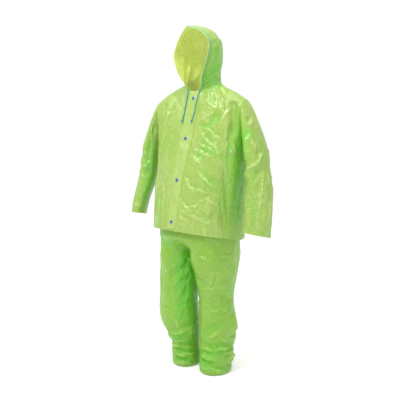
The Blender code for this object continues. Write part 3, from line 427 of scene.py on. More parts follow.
    ((0.4, 0.01, 1.03), (0.35, 0.045, 0.98), 0.007, 0.0036),
    ((-0.37, 0.03, 1.15), (-0.32, 0.075, 1.08), 0.007, 0.0044),
    ((-0.395, 0.01, 1.04), (-0.35, 0.045, 0.99), 0.007, 0.0036),
    ((-0.3, -0.01, 1.29), (-0.34, 0.0, 1.2), 0.008, 0.003),
)]
TROUSER_CREASES = [Crease(*row) for row in (
    ((0.07, -0.12, 0.64), (0.14, -0.11, 0.61), 0.006, 0.0036),
    ((0.09, -0.11, 0.58), (0.17, -0.07, 0.55), 0.006, 0.0036),
    ((0.05, -0.11, 0.54), (0.12, -0.1, 0.5), 0.007, -0.0036),
    ((0.08, -0.1, 0.46), (0.16, -0.06, 0.5), 0.006, 0.0036),
    ((0.07, -0.1, 0.4), (0.15, -0.06, 0.35), 0.006, 0.0036),
    ((0.1, -0.09, 0.34), (0.175, -0.02, 0.38), 0.006, 0.0036),
    ((-0.04, -0.13, 0.58), (-0.11, -0.14, 0.52), 0.006, 0.0036),
    ((-0.03, -0.11, 0.52), (-0.1, -0.13, 0.43), 0.006, 0.0036),
    ((-0.03, -0.1, 0.45), (-0.09, -0.12, 0.35), 0.006, 0.0036),
    ((-0.04, -0.1, 0.38), (-0.08, -0.11, 0.29), 0.007, -0.0036),
    ((0.108, -0.083, 0.203), (0.158, -0.063, 0.256), 0.009, 0.009),
    ((0.068, -0.081, 0.229), (0.123, -0.069, 0.152), 0.01, -0.008),
    ((0.068, -0.081, 0.229), (0.179, -0.038, 0.305), 0.011, -0.007),
    ((0.123, -0.069, 0.152), (0.169, 0.011, 0.15), 0.008, 0.01),
    ((0.141, -0.06, 0.131), (0.17, 0.011, 0.13), 0.007, -0.009),
    ((0.067, -0.079, 0.149), (0.145, -0.057, 0.136), 0.008, 0.009),
    ((0.148, -0.043, 0.105), (0.169, 0.029, 0.113), 0.008, 0.009),
    ((0.041, -0.055, 0.079), (0.12, -0.065, 0.068), 0.009, -0.01),
    ((0.094, -0.072, 0.052), (0.16, -0.008, 0.021), 0.008, 0.008),
    ((0.058, -0.068, 0.105), (0.128, -0.068, 0.098), 0.008, 0.009),
    ((0.048, -0.068, 0.12), (0.108, -0.073, 0.122), 0.007, -0.008),
    ((0.058, -0.068, 0.035), (0.118, -0.068, 0.04), 0.008, 0.007),
    ((-0.079, -0.09, 0.126), (-0.03, -0.032, 0.153), 0.008, -0.009),
    ((-0.099, -0.093, 0.072), (-0.026, -0.037, 0.063), 0.009, 0.01),
    ((-0.135, -0.079, 0.052), (-0.044, -0.072, 0.037), 0.008, -0.009),
    ((-0.128, -0.116, 0.193), (-0.027, -0.043, 0.239), 0.01, 0.009),
    ((-0.114, -0.102, 0.148), (-0.034, -0.083, 0.207), 0.009, -0.008),
    ((-0.13, -0.084, 0.094), (-0.025, -0.03, 0.091), 0.008, -0.008),
    ((-0.14, -0.095, 0.11), (-0.07, -0.095, 0.118), 0.008, 0.009),
    ((-0.15, -0.095, 0.16), (-0.08, -0.105, 0.17), 0.009, 0.008),
    ((-0.12, -0.075, 0.02), (-0.04, -0.045, 0.018), 0.008, 0.007),
    ((0.175, 0.0, 0.18), (0.13, 0.075, 0.2), 0.009, 0.009),
    ((0.178, -0.01, 0.09), (0.12, 0.078, 0.075), 0.009, 0.009),
    ((0.176, 0.0, 0.13), (0.11, 0.078, 0.14), 0.008, -0.009),
    ((0.176, -0.01, 0.045), (0.1, 0.078, 0.035), 0.008, -0.008),
    ((0.05, 0.078, 0.19), (0.13, 0.075, 0.16), 0.009, 0.009),
    ((0.03, 0.06, 0.1), (0.11, 0.078, 0.105), 0.008, 0.009),
    ((-0.16, -0.04, 0.19), (-0.14, 0.055, 0.205), 0.009, 0.009),
    ((-0.16, -0.05, 0.13), (-0.13, 0.058, 0.115), 0.008, -0.009),
    ((-0.155, -0.04, 0.085), (-0.1, 0.06, 0.08), 0.009, 0.009),
    ((-0.15, -0.04, 0.04), (-0.08, 0.058, 0.035), 0.008, -0.008),
    ((-0.12, 0.06, 0.16), (-0.04, 0.055, 0.18), 0.009, 0.009),
    ((-0.02, 0.03, 0.12), (-0.09, 0.06, 0.13), 0.008, -0.008),
    ((0.168, -0.135, 0.74), (0.14, -0.1, 0.42), 0.005, 0.003),
    ((0.14, -0.1, 0.42), (0.11, -0.075, 0.26), 0.005, 0.0026),
    ((0.113, -0.162, 0.642), (0.154, -0.146, 0.626), 0.005, 0.0028),
    ((0.11, -0.16, 0.628), (0.146, -0.146, 0.612), 0.006, -0.0026),
    ((0.178, -0.115, 0.636), (0.203, -0.029, 0.63), 0.005, 0.0024),
    ((0.185, -0.105, 0.622), (0.204, -0.04, 0.612), 0.006, -0.0024),
    ((0.159, -0.106, 0.491), (0.183, -0.089, 0.536), 0.006, 0.0028),
    ((0.172, -0.091, 0.49), (0.197, -0.01, 0.544), 0.008, -0.0034),
    ((0.168, -0.077, 0.441), (0.189, -0.015, 0.436), 0.005, 0.0032),
    ((0.14, -0.096, 0.404), (0.168, -0.076, 0.434), 0.005, 0.0028),
    ((0.177, -0.048, 0.408), (0.183, 0.003, 0.415), 0.006, 0.0034),
    ((0.172, -0.06, 0.424), (0.186, -0.01, 0.42), 0.006, -0.0034),
    ((0.125, -0.085, 0.347), (0.159, -0.065, 0.344), 0.005, 0.0026),
    ((0.164, -0.059, 0.339), (0.184, -0.008, 0.37), 0.006, 0.0034),
    ((0.15, -0.075, 0.325), (0.18, -0.02, 0.35), 0.008, -0.0034),
    ((0.11, -0.07, 0.203), (0.16, -0.045, 0.256), 0.007, 0.005),
    ((0.15, -0.055, 0.215), (0.17, -0.02, 0.175), 0.007, 0.0044),
    ((0.07, -0.063, 0.229), (0.125, -0.051, 0.155), 0.008, 0.005),
    ((0.143, -0.042, 0.131), (0.172, 0.029, 0.141), 0.007, -0.005),
    ((0.043, -0.045, 0.079), (0.122, -0.047, 0.068), 0.006, -0.005),
    ((0.06, -0.055, 0.092), (0.13, -0.045, 0.088), 0.006, 0.0044),
    ((0.096, -0.054, 0.052), (0.162, 0.01, 0.024), 0.006, -0.005),
    ((0.08, -0.056, 0.03), (0.15, -0.02, 0.02), 0.007, 0.0044),
    ((0.03, -0.03, 0.18), (0.08, -0.06, 0.12), 0.008, 0.005),
    ((0.02, -0.06, 0.48), (0.08, -0.13, 0.44), 0.008, -0.003),
    ((0.015, 0.0, 0.38), (0.07, -0.095, 0.35), 0.009, 0.003),
    ((-0.031, -0.105, 0.525), (-0.01, -0.09, 0.585), 0.01, -0.006),
    ((-0.015, -0.065, 0.53), (-0.056, -0.13, 0.478), 0.006, 0.0044),
    ((-0.013, -0.056, 0.486), (-0.061, -0.131, 0.453), 0.006, 0.004),
    ((-0.016, -0.05, 0.455), (-0.075, -0.135, 0.42), 0.007, -0.0034),
    ((-0.016, -0.053, 0.399), (-0.061, -0.125, 0.358), 0.006, 0.0034),
    ((-0.018, -0.045, 0.37), (-0.08, -0.13, 0.33), 0.007, -0.003),
    ((-0.167, -0.126, 0.553), (-0.116, -0.145, 0.441), 0.005, 0.0034),
    ((-0.128, -0.141, 0.4), (-0.119, -0.143, 0.43), 0.006, 0.0034),
    ((-0.155, -0.115, 0.33), (-0.087, -0.134, 0.319), 0.006, 0.0034),
    ((-0.087, -0.134, 0.319), (-0.042, -0.105, 0.288), 0.006, 0.0034),
    ((-0.08, -0.13, 0.3), (-0.06, -0.1, 0.22), 0.01, 0.003),
    ((-0.069, -0.075, 0.126), (-0.02, -0.017, 0.153), 0.008, -0.006),
    ((-0.118, -0.095, 0.185), (-0.04, -0.07, 0.205), 0.007, -0.005),
    ((-0.089, -0.078, 0.076), (-0.016, -0.022, 0.07), 0.006, 0.005),
    ((-0.125, -0.064, 0.06), (-0.064, -0.074, 0.043), 0.006, -0.005),
    ((-0.064, -0.074, 0.043), (-0.017, -0.029, 0.028), 0.006, -0.0044),
    ((-0.104, -0.08, 0.14), (-0.06, -0.08, 0.165), 0.007, 0.005),
    ((-0.022, -0.18, 0.698), (0.04, -0.16, 0.64), 0.008, -0.004),
    ((-0.05, -0.176, 0.69), (0.02, -0.165, 0.625), 0.006, 0.003),
    ((0.0, -0.185, 0.72), (0.004, -0.165, 0.62), 0.007, 0.003),
    ((0.1, 0.115, 0.68), (0.06, 0.12, 0.6), 0.008, 0.004),
    ((-0.1, 0.115, 0.67), (-0.05, 0.12, 0.59), 0.008, 0.004),
    ((0.06, 0.13, 0.56), (0.01, 0.09, 0.52), 0.007, 0.0044),
    ((-0.06, 0.13, 0.55), (-0.01, 0.09, 0.51), 0.007, 0.0044),
    ((0.13, 0.085, 0.47), (0.05, 0.105, 0.43), 0.007, 0.0036),
    ((-0.14, 0.055, 0.47), (-0.05, 0.075, 0.43), 0.007, 0.0036),
    ((0.16, 0.06, 0.33), (0.09, 0.1, 0.3), 0.008, 0.0036),
    ((-0.16, 0.03, 0.32), (-0.08, 0.055, 0.29), 0.008, 0.0036),
    ((0.15, 0.08, 0.15), (0.07, 0.11, 0.16), 0.007, 0.005),
    ((-0.14, 0.04, 0.145), (-0.06, 0.075, 0.155), 0.007, 0.005),
    ((0.15, 0.085, 0.09), (0.06, 0.115, 0.095), 0.006, 0.0044),
    ((-0.14, 0.045, 0.09), (-0.05, 0.078, 0.098), 0.006, 0.0044),
    ((0.15, 0.08, 0.035), (0.06, 0.112, 0.04), 0.006, 0.004),
    ((-0.14, 0.045, 0.035), (-0.05, 0.078, 0.04), 0.006, 0.004),
    ((-0.2, -0.02, 0.64), (-0.18, -0.04, 0.46), 0.008, 0.0034),
    ((0.204, 0.0, 0.7), (0.19, 0.01, 0.5), 0.01, 0.003),
)]


def linear(red: float, green: float, blue: float) -> Colour:
    """A colour given as display values from 0 to 255, turned into light.

    Args:
        red, green, blue: the display values.

    Returns:
        The linear colour, by the display's own curve: (v + 0.055) / 1.055 to the power 2.4.
    """
    return tuple(((value / 255 + 0.055) / 1.055) ** 2.4 for value in (red, green, blue))


def smoothstep(value: Array) -> Array:
    """0 below 0, 1 above 1, and 3t² − 2t³ between."""
    t = np.clip(value, 0.0, 1.0)
    return t * t * (3.0 - 2.0 * t)


def unit(vectors: Array) -> Array:
    """Vectors scaled to length 1."""
    return vectors / np.maximum(np.linalg.norm(vectors, axis=-1, keepdims=True), TINY)


def read_table(rows: list[NamedTuple], key: str, wanted: Array) -> NamedTuple:
    """Read every column of a table on a smooth curve.

    Args:
        rows: the table's rows.
        key: the column that rises from row to row.
        wanted: values of that column.

    Returns:
        One row whose columns hold an array each: a cubic Hermite curve through the rows, whose
        slopes are the central differences.
    """
    table = np.array(rows, dtype=float)
    wanted = np.asarray(wanted, dtype=float)
    knots = table[:, rows[0]._fields.index(key)]
    slopes = np.gradient(table, knots, axis=0)
    cell = np.clip(np.searchsorted(knots, wanted, side="right") - 1, 0, len(knots) - 2)
    step = (knots[cell + 1] - knots[cell])[..., None]
    t = (wanted - knots[cell])[..., None] / step
    value = ((1 + 2 * t) * (1 - t) ** 2 * table[cell] + t * (1 - t) ** 2 * slopes[cell] * step
             + t * t * (3 - 2 * t) * table[cell + 1] + t * t * (t - 1) * slopes[cell + 1] * step)
    return type(rows[0])(*np.moveaxis(value, -1, 0))


def shares(cells: int) -> Array:
    """Fine steps over a number of cells, counted in cells: 0, 1/STEPS, 2/STEPS and so on."""
    return np.arange(cells * STEPS + 1) / STEPS


def stack(x: Array, y: Array, height: Array) -> Array:
    """Points from their coordinates, with the height measured from the origin."""
    return np.stack(np.broadcast_arrays(x, y, height - HOLD_HEIGHT), axis=-1)


def eased(grid: Array, rounds: int, pinned: Array | None = None) -> Array:
    """Round off kinks from row to row: each point moves to the mean of itself and its two neighbours.

    Args:
        grid: rows of points.
        rounds: how often the mean is taken.
        pinned: for each column, 0 where its points stay and 1 where they move freely.

    Returns:
        The smoothed rows; the first and last stay.
    """
    share = 1.0 if pinned is None else pinned[None, :, None]
    for _ in range(rounds):
        mean = (grid[:-2] + 2 * grid[1:-1] + grid[2:]) / 4
        grid = np.concatenate([grid[:1], grid[1:-1] * (1 - share) + mean * share, grid[-1:]])
    return grid


def run_along(grid: Array, axis: int, from_end: bool = False) -> Array:
    """How far each point of a grid lies from its first (or last) row or column, along the cloth."""
    steps = np.linalg.norm(np.diff(grid, axis=axis), axis=-1)
    start = np.zeros_like(np.take(steps, [0], axis=axis))
    run = np.concatenate([start, np.cumsum(steps, axis=axis)], axis=axis)
    return np.take(run, [-1], axis=axis) - run if from_end else run


@dataclass(frozen=True)
class JacketForm:
    """The jacket's shape when worn, as grids of points that share their seams."""

    front_cells: int = 12
    neck_cells: int = 5
    body_cells_up: int = 11
    chest_cells_up: int = 9
    sleeve_cells_up: int = 20
    hood_cells_up: int = 11
    chest_height: float = 1.165
    hem_height: float = 0.702
    hem_front_rise: float = 0.048
    closure_drift: float = -0.018
    closure_top: float = 1.360
    closure_fall: float = 0.300
    placket_half_width: float = 0.030
    neck_half_width: float = 0.105
    neck_front: float = 0.056
    neck_back: float = 0.088
    neck_front_height: float = 1.408
    neck_side_height: float = 1.442
    neck_back_height: float = 1.452
    shoulder: Triple = (0.264, 0.005, 1.362)
    shoulder_crown: float = 0.004
    scye_front: float = 0.050
    scye_back: float = 0.030
    scye_to_the_side: int = 4
    scye_rounding: float = 0.8
    body_rounds: int = 10
    sleeve_rounds: int = 16
    hood_rounds: int = 8
    round_chest_turn: float = 1.4
    sleeve_blend: float = 0.28
    sleeve_last_ring: float = 0.925
    right_cuff_lift: float = 0.022
    right_cuff_forward: float = 0.006
    right_cuff_narrows: float = 0.018
    hood_peak_height: float = 1.700
    hood_crown_height: float = 1.722
    hood_back_height: float = 1.682
    hood_blend: float = 0.22

    def column_angles(self) -> Array:
        """Angles of a half body's columns, centre to side; the first cell is half the placket wide."""
        mid = BODY[2]
        first = math.asin((self.placket_half_width / mid.half_width) ** (mid.square / 2.0))
        return np.interp(shares(self.front_cells), [0, 1, self.front_cells], [0, first, math.pi / 2])

    def top_line(self, depth: float, centre_height: float) -> tuple[Array, Array, Array]:
        """The neckline as a quarter ellipse, then the shoulder seam with its crown, out to the arm.

        Args:
            depth: the neckline's depth at the centre.
            centre_height: its height there.

        Returns:
            Across, deep and height for every column.
        """
        cell = shares(self.front_cells)
        turn = np.clip(cell / self.neck_cells, 0, 1) * math.pi / 2
        out = np.clip((cell - self.neck_cells) / (self.front_cells - self.neck_cells), 0, 1)
        x_end, _, height_end = self.shoulder
        x = self.neck_half_width * np.sin(turn) + (x_end - self.neck_half_width) * out
        y = depth * np.cos(turn)
        height = (centre_height + (self.neck_side_height - centre_height) * np.sin(turn) ** 2
                  + (height_end - self.neck_side_height) * out
                  + self.shoulder_crown * np.sin(math.pi * out))
        return x, y, height

    def half_body(self, side: float, is_front: bool) -> Array:
        """A half front or back: rows hem to top, columns centre to side.

        Below the chest the rows are squared ellipses. Above it each column rises to the top line on
        a quarter ellipse near the arm and on a straight line at the centre, and the armhole is
        scooped by sin(pi t) to a power.

        Args:
            side: 1 for the wearer's left, -1 for the right.
            is_front: True for a front.

        Returns:
            The grid of points.
        """
        angle = self.column_angles()
        along = angle / (math.pi / 2)
        facing = -1.0 if is_front else 1.0

        def squared_ellipse(section: NamedTuple) -> tuple[Array, Array]:
            depth = section.front if is_front else section.back
            power = 2.0 / section.square
            return section.half_width * np.sin(angle) ** power, depth * np.abs(np.cos(angle)) ** power

        hem_y = squared_ellipse(BODY[0])[1]
        rise_in_front = np.maximum(-facing * hem_y, 0.0) / BODY[0].front
        hem = self.hem_height + self.hem_front_rise * rise_in_front
        up = shares(self.body_cells_up)[:, None] / self.body_cells_up
        height = hem + (self.chest_height - hem) * up
        x, y = squared_ellipse(read_table(BODY, "height", height))
        lower = stack(side * x + self.drift(height, along, is_front), facing * y, height)

        depth = self.neck_front if is_front else self.neck_back
        centre_height = self.neck_front_height if is_front else self.neck_back_height
        top_x, top_y, top_height = self.top_line(depth, centre_height)
        beyond = np.clip((shares(self.front_cells) - self.neck_cells)
                         / (self.front_cells - self.neck_cells), 0, 1)
        top_y = facing * top_y + self.shoulder[1] * beyond
        rise = shares(self.chest_cells_up)[1:, None] / self.chest_cells_up
        roundness = smoothstep(along * self.round_chest_turn)
        over = (1 - roundness) * rise + roundness * (1 - np.cos(rise * math.pi / 2))
        climb = (1 - roundness) * rise + roundness * np.sin(rise * math.pi / 2)
        scoop = self.scye_front if is_front else self.scye_back
        upper_x = x[-1] + (top_x - x[-1]) * rise
        upper_y = (facing * y[-1] + (top_y - facing * y[-1]) * over
                   + facing * scoop * along ** self.scye_to_the_side
                   * np.maximum(np.sin(math.pi * rise), 0.0) ** self.scye_rounding)
        upper_height = self.chest_height + (top_height - self.chest_height) * climb
        drift = self.drift(upper_height, along, is_front)
        upper = stack(side * upper_x + drift, upper_y, upper_height)
        return eased(np.concatenate([lower, upper]), self.body_rounds)

    def drift(self, height: Array, along: Array, is_front: bool) -> Array:
        """How far a front's points have drifted to the wearer's right, most at the closure."""
        fall = smoothstep((self.closure_top - height) / self.closure_fall)
        return self.closure_drift * fall * (1 - along) ** 2 * is_front

    def sleeve(self, armhole: Array, lift: float, forward: float, narrows: float) -> Array:
        """A left sleeve as rings from cuff to armhole; each runs from the underarm over the front.

        The rings are ellipses that turn into the armhole's own loop over the last stretch.

        Args:
            armhole: the loop of points that it is sewn to.
            lift: how much higher the cuff hangs.
            forward: how much further forward it hangs.
            narrows: how much narrower it is.

        Returns:
            The grid of points.
        """
        cells = self.sleeve_cells_up
        share = np.interp(shares(cells), [0, cells - 1, cells], [0, self.sleeve_last_ring, 1])[:, None]
        section = read_table(SLEEVE, "share", share)
        turn = 2 * math.pi * np.arange(len(armhole)) / len(armhole)
        outward = (1 - np.cos(turn)) / 2
        fore = smoothstep(1 - share * 2)
        inner_x = section.inner_x + narrows * fore
        x = inner_x + (section.outer_x - inner_x) * outward
        height = section.inner_height + (section.outer_height - section.inner_height) * outward
        deep = -section.half_depth * np.sin(turn)
        y = section.centre_y - forward * fore + deep
        rings = stack(x + section.twist * deep, y, height - section.tilt * deep + lift * fore)
        blend = np.clip((share - (1 - self.sleeve_blend)) / self.sleeve_blend, 0.0, 1.0)[..., None]
        return eased(rings * (1 - blend) + armhole * blend, self.sleeve_rounds)

    def hood(self, neck: Array) -> Array:
        """The left hood panel: rows neck to top, columns from the rim round to the centre seam.

        Across, a level is cos(a) of the rim's half width with a bulge of sin(2a).

        Args:
            neck: the neckline's points that it is sewn to.

        Returns:
            The grid of points.
        """
        up = shares(self.hood_cells_up) / self.hood_cells_up
        share = np.sin(up * math.pi / 2)[:, None]
        section = read_table(HOOD, "share", share)
        back = np.arange(len(neck)) / (len(neck) - 1)
        angle = back * math.pi / 2
        x = section.rim_x * np.cos(angle) + section.bulge * np.sin(2 * angle)
        x[:, -1] = 0.0
        y = section.rim_y + (section.back_y - section.rim_y) * np.sin(angle)
        ridge = (self.hood_peak_height * (1 - back) + self.hood_back_height * back
                 + (self.hood_crown_height - self.hood_peak_height) * np.sin(math.pi * back))
        foot = neck[:, 2] + HOLD_HEIGHT
        grid = stack(x, y, foot + (ridge - foot) * share)
        blend = np.clip(share / self.hood_blend, 0.0, 1.0)[..., None]
        return eased(neck * (1 - blend) + grid * blend, self.hood_rounds)

    def grids(self) -> dict[str, Array]:
        """Every grid of the jacket, by panel name."""
        front = self.half_body(1.0, True)
        back_left = self.half_body(1.0, False)
        back = np.concatenate([back_left[:, ::-1], self.half_body(-1.0, False)[:, 1:]], axis=1)
        up = np.s_[self.body_cells_up * STEPS:, -1]
        armhole = np.concatenate([front[up], back_left[up][-2:0:-1]])
        right = self.sleeve(armhole, self.right_cuff_lift, self.right_cuff_forward, self.right_cuff_narrows)
        last = self.neck_cells * STEPS
        neck = np.concatenate([front[-1, STEPS:last + 1], back_left[-1, last - 1::-1]])
        hood = self.hood(neck)
        return {"front_left": front, "front_right": self.half_body(-1.0, True)[:, ::-1], "back": back,
                "sleeve_left": self.sleeve(armhole, 0.0, 0.0, 0.0), "sleeve_right": mirrored(right),
                "hood_left": hood, "hood_right": mirrored(hood)}


@dataclass(frozen=True)
class TrouserForm:
    """The trousers' shape when worn, as grids of points that share their seams."""

    leg_cells_round: int = 18
    ankle_cells_up: int = 10
    thigh_cells_up: int = 8
    rise_cells_up: int = 4
    hip_cells_up: int = 4
    ankle_top: float = 0.210
    crotch_height: float = 0.590
    rise_top: float = 0.720
    waist_height: float = 0.990
    waistband_tall: float = 0.030
    waistband_rows: int = 8

    def leg(self, legs: list[LegSection]) -> Array:
        """A left leg: rows hem to waist, columns from the front edge round the outside to the back.

        Under the crotch a row is a whole ring that meets itself at the inseam. Above it a row opens
        into half of the hips, and its edges run down the centre seams to the crotch.

        Args:
            legs: the leg's sections.

        Returns:
            The grid of points.
        """
        levels = np.cumsum([0, self.ankle_cells_up, self.thigh_cells_up, self.rise_cells_up,
                            self.hip_cells_up])
        heights = [legs[0].height, self.ankle_top, self.crotch_height, self.rise_top, self.waist_height]
        height = np.interp(shares(int(levels[-1])), levels, heights)[:, None]
        share = shares(self.leg_cells_round) / self.leg_cells_round
        leg = read_table(legs, "height", np.minimum(height, legs[-1].height))
        ring_x = leg.centre_x - leg.half_width * np.cos(2 * math.pi * share)
        ring_y = leg.centre_y - leg.half_depth * np.sin(2 * math.pi * share)
        hip = read_table(HIPS, "height", np.maximum(height, HIPS[0].height))
        power = 2.0 / hip.square
        half_x = hip.half_width * np.abs(np.sin(math.pi * share)) ** power
        cosine = np.cos(math.pi * share)
        deep = np.where(cosine > 0, hip.front, hip.back)
        half_y = -deep * np.sign(cosine) * np.abs(cosine) ** power
        closed = smoothstep((self.rise_top - height) / (self.rise_top - self.crotch_height))
        x = ring_x * closed + half_x * (1 - closed)
        y = ring_y * closed + half_y * (1 - closed)
        at_seam = height >= self.crotch_height - SAME_POINT
        x[:, [0, -1]] = np.where(at_seam, 0.0, x[:, [0, -1]])
        return stack(x, y, height)

    def grids(self) -> dict[str, Array]:
        """Every grid of the trousers, by panel name."""
        left = self.leg(LEFT_LEG)
        right = mirrored(self.leg(RIGHT_LEG))
        ring = np.concatenate([left[-1, :-1], right[-1, :-1]])
        up = np.arange(self.waistband_rows + 1)[:, None, None] / self.waistband_rows
        band = ring + up * np.array([0.0, 0.0, self.waistband_tall])
        return {"leg_left": left, "leg_right": right, "waistband": band}


def mirrored(grid: Array) -> Array:
    """The grid for the wearer's other side, with its columns turned round so it still faces out."""
    return (grid * (-1.0, 1.0, 1.0))[:, ::-1]


TUBES = ("sleeve_left", "sleeve_right", "waistband")
SHELLS = {"front": 0, "back": 0, "sleeve": 1, "hood": 2, "leg": 3, "waistband": 4}


def panel_normals(grid: Array, wrap: bool) -> Array:
    """The outward normal at each point of a panel, from the diagonals of the cells around it."""
    ring = np.concatenate([grid, grid[:, :1]], axis=1) if wrap else grid
    cells = np.cross(ring[1:, 1:] - ring[:-1, :-1], ring[1:, :-1] - ring[:-1, 1:])
    total = np.zeros(ring.shape)
    for corner in (np.s_[:-1, :-1], np.s_[:-1, 1:], np.s_[1:, :-1], np.s_[1:, 1:]):
        total[corner] += cells
    if wrap:
        total[:, 0] += total[:, -1]
        total = total[:, :-1]
    return unit(total)


def mean_by(labels: Array, vectors: Array) -> tuple[Array, Array, Array]:
    """The unit mean of the vectors that share a label, each label, and each vector's own label."""
    kinds, index = np.unique(labels, axis=0, return_inverse=True)
    index = index.reshape(-1)
    total = np.stack([np.bincount(index, vectors[:, axis], len(kinds)) for axis in range(3)], axis=1)
    return unit(total), kinds, index


def shared_normals(panels: dict[str, Array]) -> dict[str, Array]:
    """Outward normals that neighbours share at a seam.

    Panels of one shell, such as the fronts and back, are averaged first, and then the shells that
    meet there, so a seam lies half and half between them.

    Args:
        panels: the grids by name.

    Returns:
        The normals by name.
    """
    points = np.concatenate([grid.reshape(-1, 3) for grid in panels.values()])
    own = np.concatenate([panel_normals(grid, name in TUBES).reshape(-1, 3)
                          for name, grid in panels.items()])
    sizes = [grid.shape[0] * grid.shape[1] for grid in panels.values()]
    shell = np.repeat([SHELLS[name.split("_")[0]] for name in panels], sizes)
    keys = np.column_stack([np.round(points / SAME_POINT).astype(np.int64), shell])
    by_shell, kinds, in_shell = mean_by(keys, own)
    by_point, _, at_point = mean_by(kinds[:, :3], by_shell)
    pieces = np.split(by_point[at_point[in_shell]], np.cumsum(sizes)[:-1])
    return {name: piece.reshape(panels[name].shape) for name, piece in zip(panels, pieces)}


HASH_TURNS = np.array([[12.9898, 78.233, 37.719], [39.346, 11.135, 83.155], [73.156, 52.235, 9.151]])
HASH_SIZE = 43758.5453
CROSS_WAVE = 2.3


def away_from(points: Array, crease: Crease) -> Array:
    """The distance of each point from a crease's line."""
    start, along = np.array(crease.start), np.subtract(crease.end, crease.start)
    share = np.clip((points - start) @ along / (along @ along), 0.0, 1.0)
    return np.linalg.norm(points - start - share[..., None] * along, axis=-1)


def wavy(points: Array, size: float, wave: float) -> Array:
    """Points shifted by soft sine waves, so a straight line through them reads as a hand-made one."""
    turn = points[..., [1, 2, 0]] * (2 * math.pi / wave)
    turn = turn + points[..., [2, 0, 1]] * (CROSS_WAVE * math.pi / wave)
    return points + size * np.sin(turn)


def dents(points: Array, cell: float, tall: float) -> Array:
    """Round dents that meet in sharp ridges, as crumpled film has.

    Space is cut into cells with one jittered point each, and the value is the square of the distance
    to the nearest of them, in cells.

    Args:
        points: where it is wanted.
        cell: a cell's width.
        tall: how many times taller than wide a cell is.

    Returns:
        The value for each point.
    """
    place = points / (cell, cell, cell * tall)
    base = np.floor(place)
    nearest = np.full(points.shape[:-1], np.inf)
    for offset in itertools.product((-1, 0, 1), repeat=3):
        corner = base + offset
        jitter = np.modf(np.abs(np.sin(corner @ HASH_TURNS) * HASH_SIZE))[0]
        nearest = np.minimum(nearest, ((place - corner - jitter) ** 2).sum(axis=-1))
    return nearest


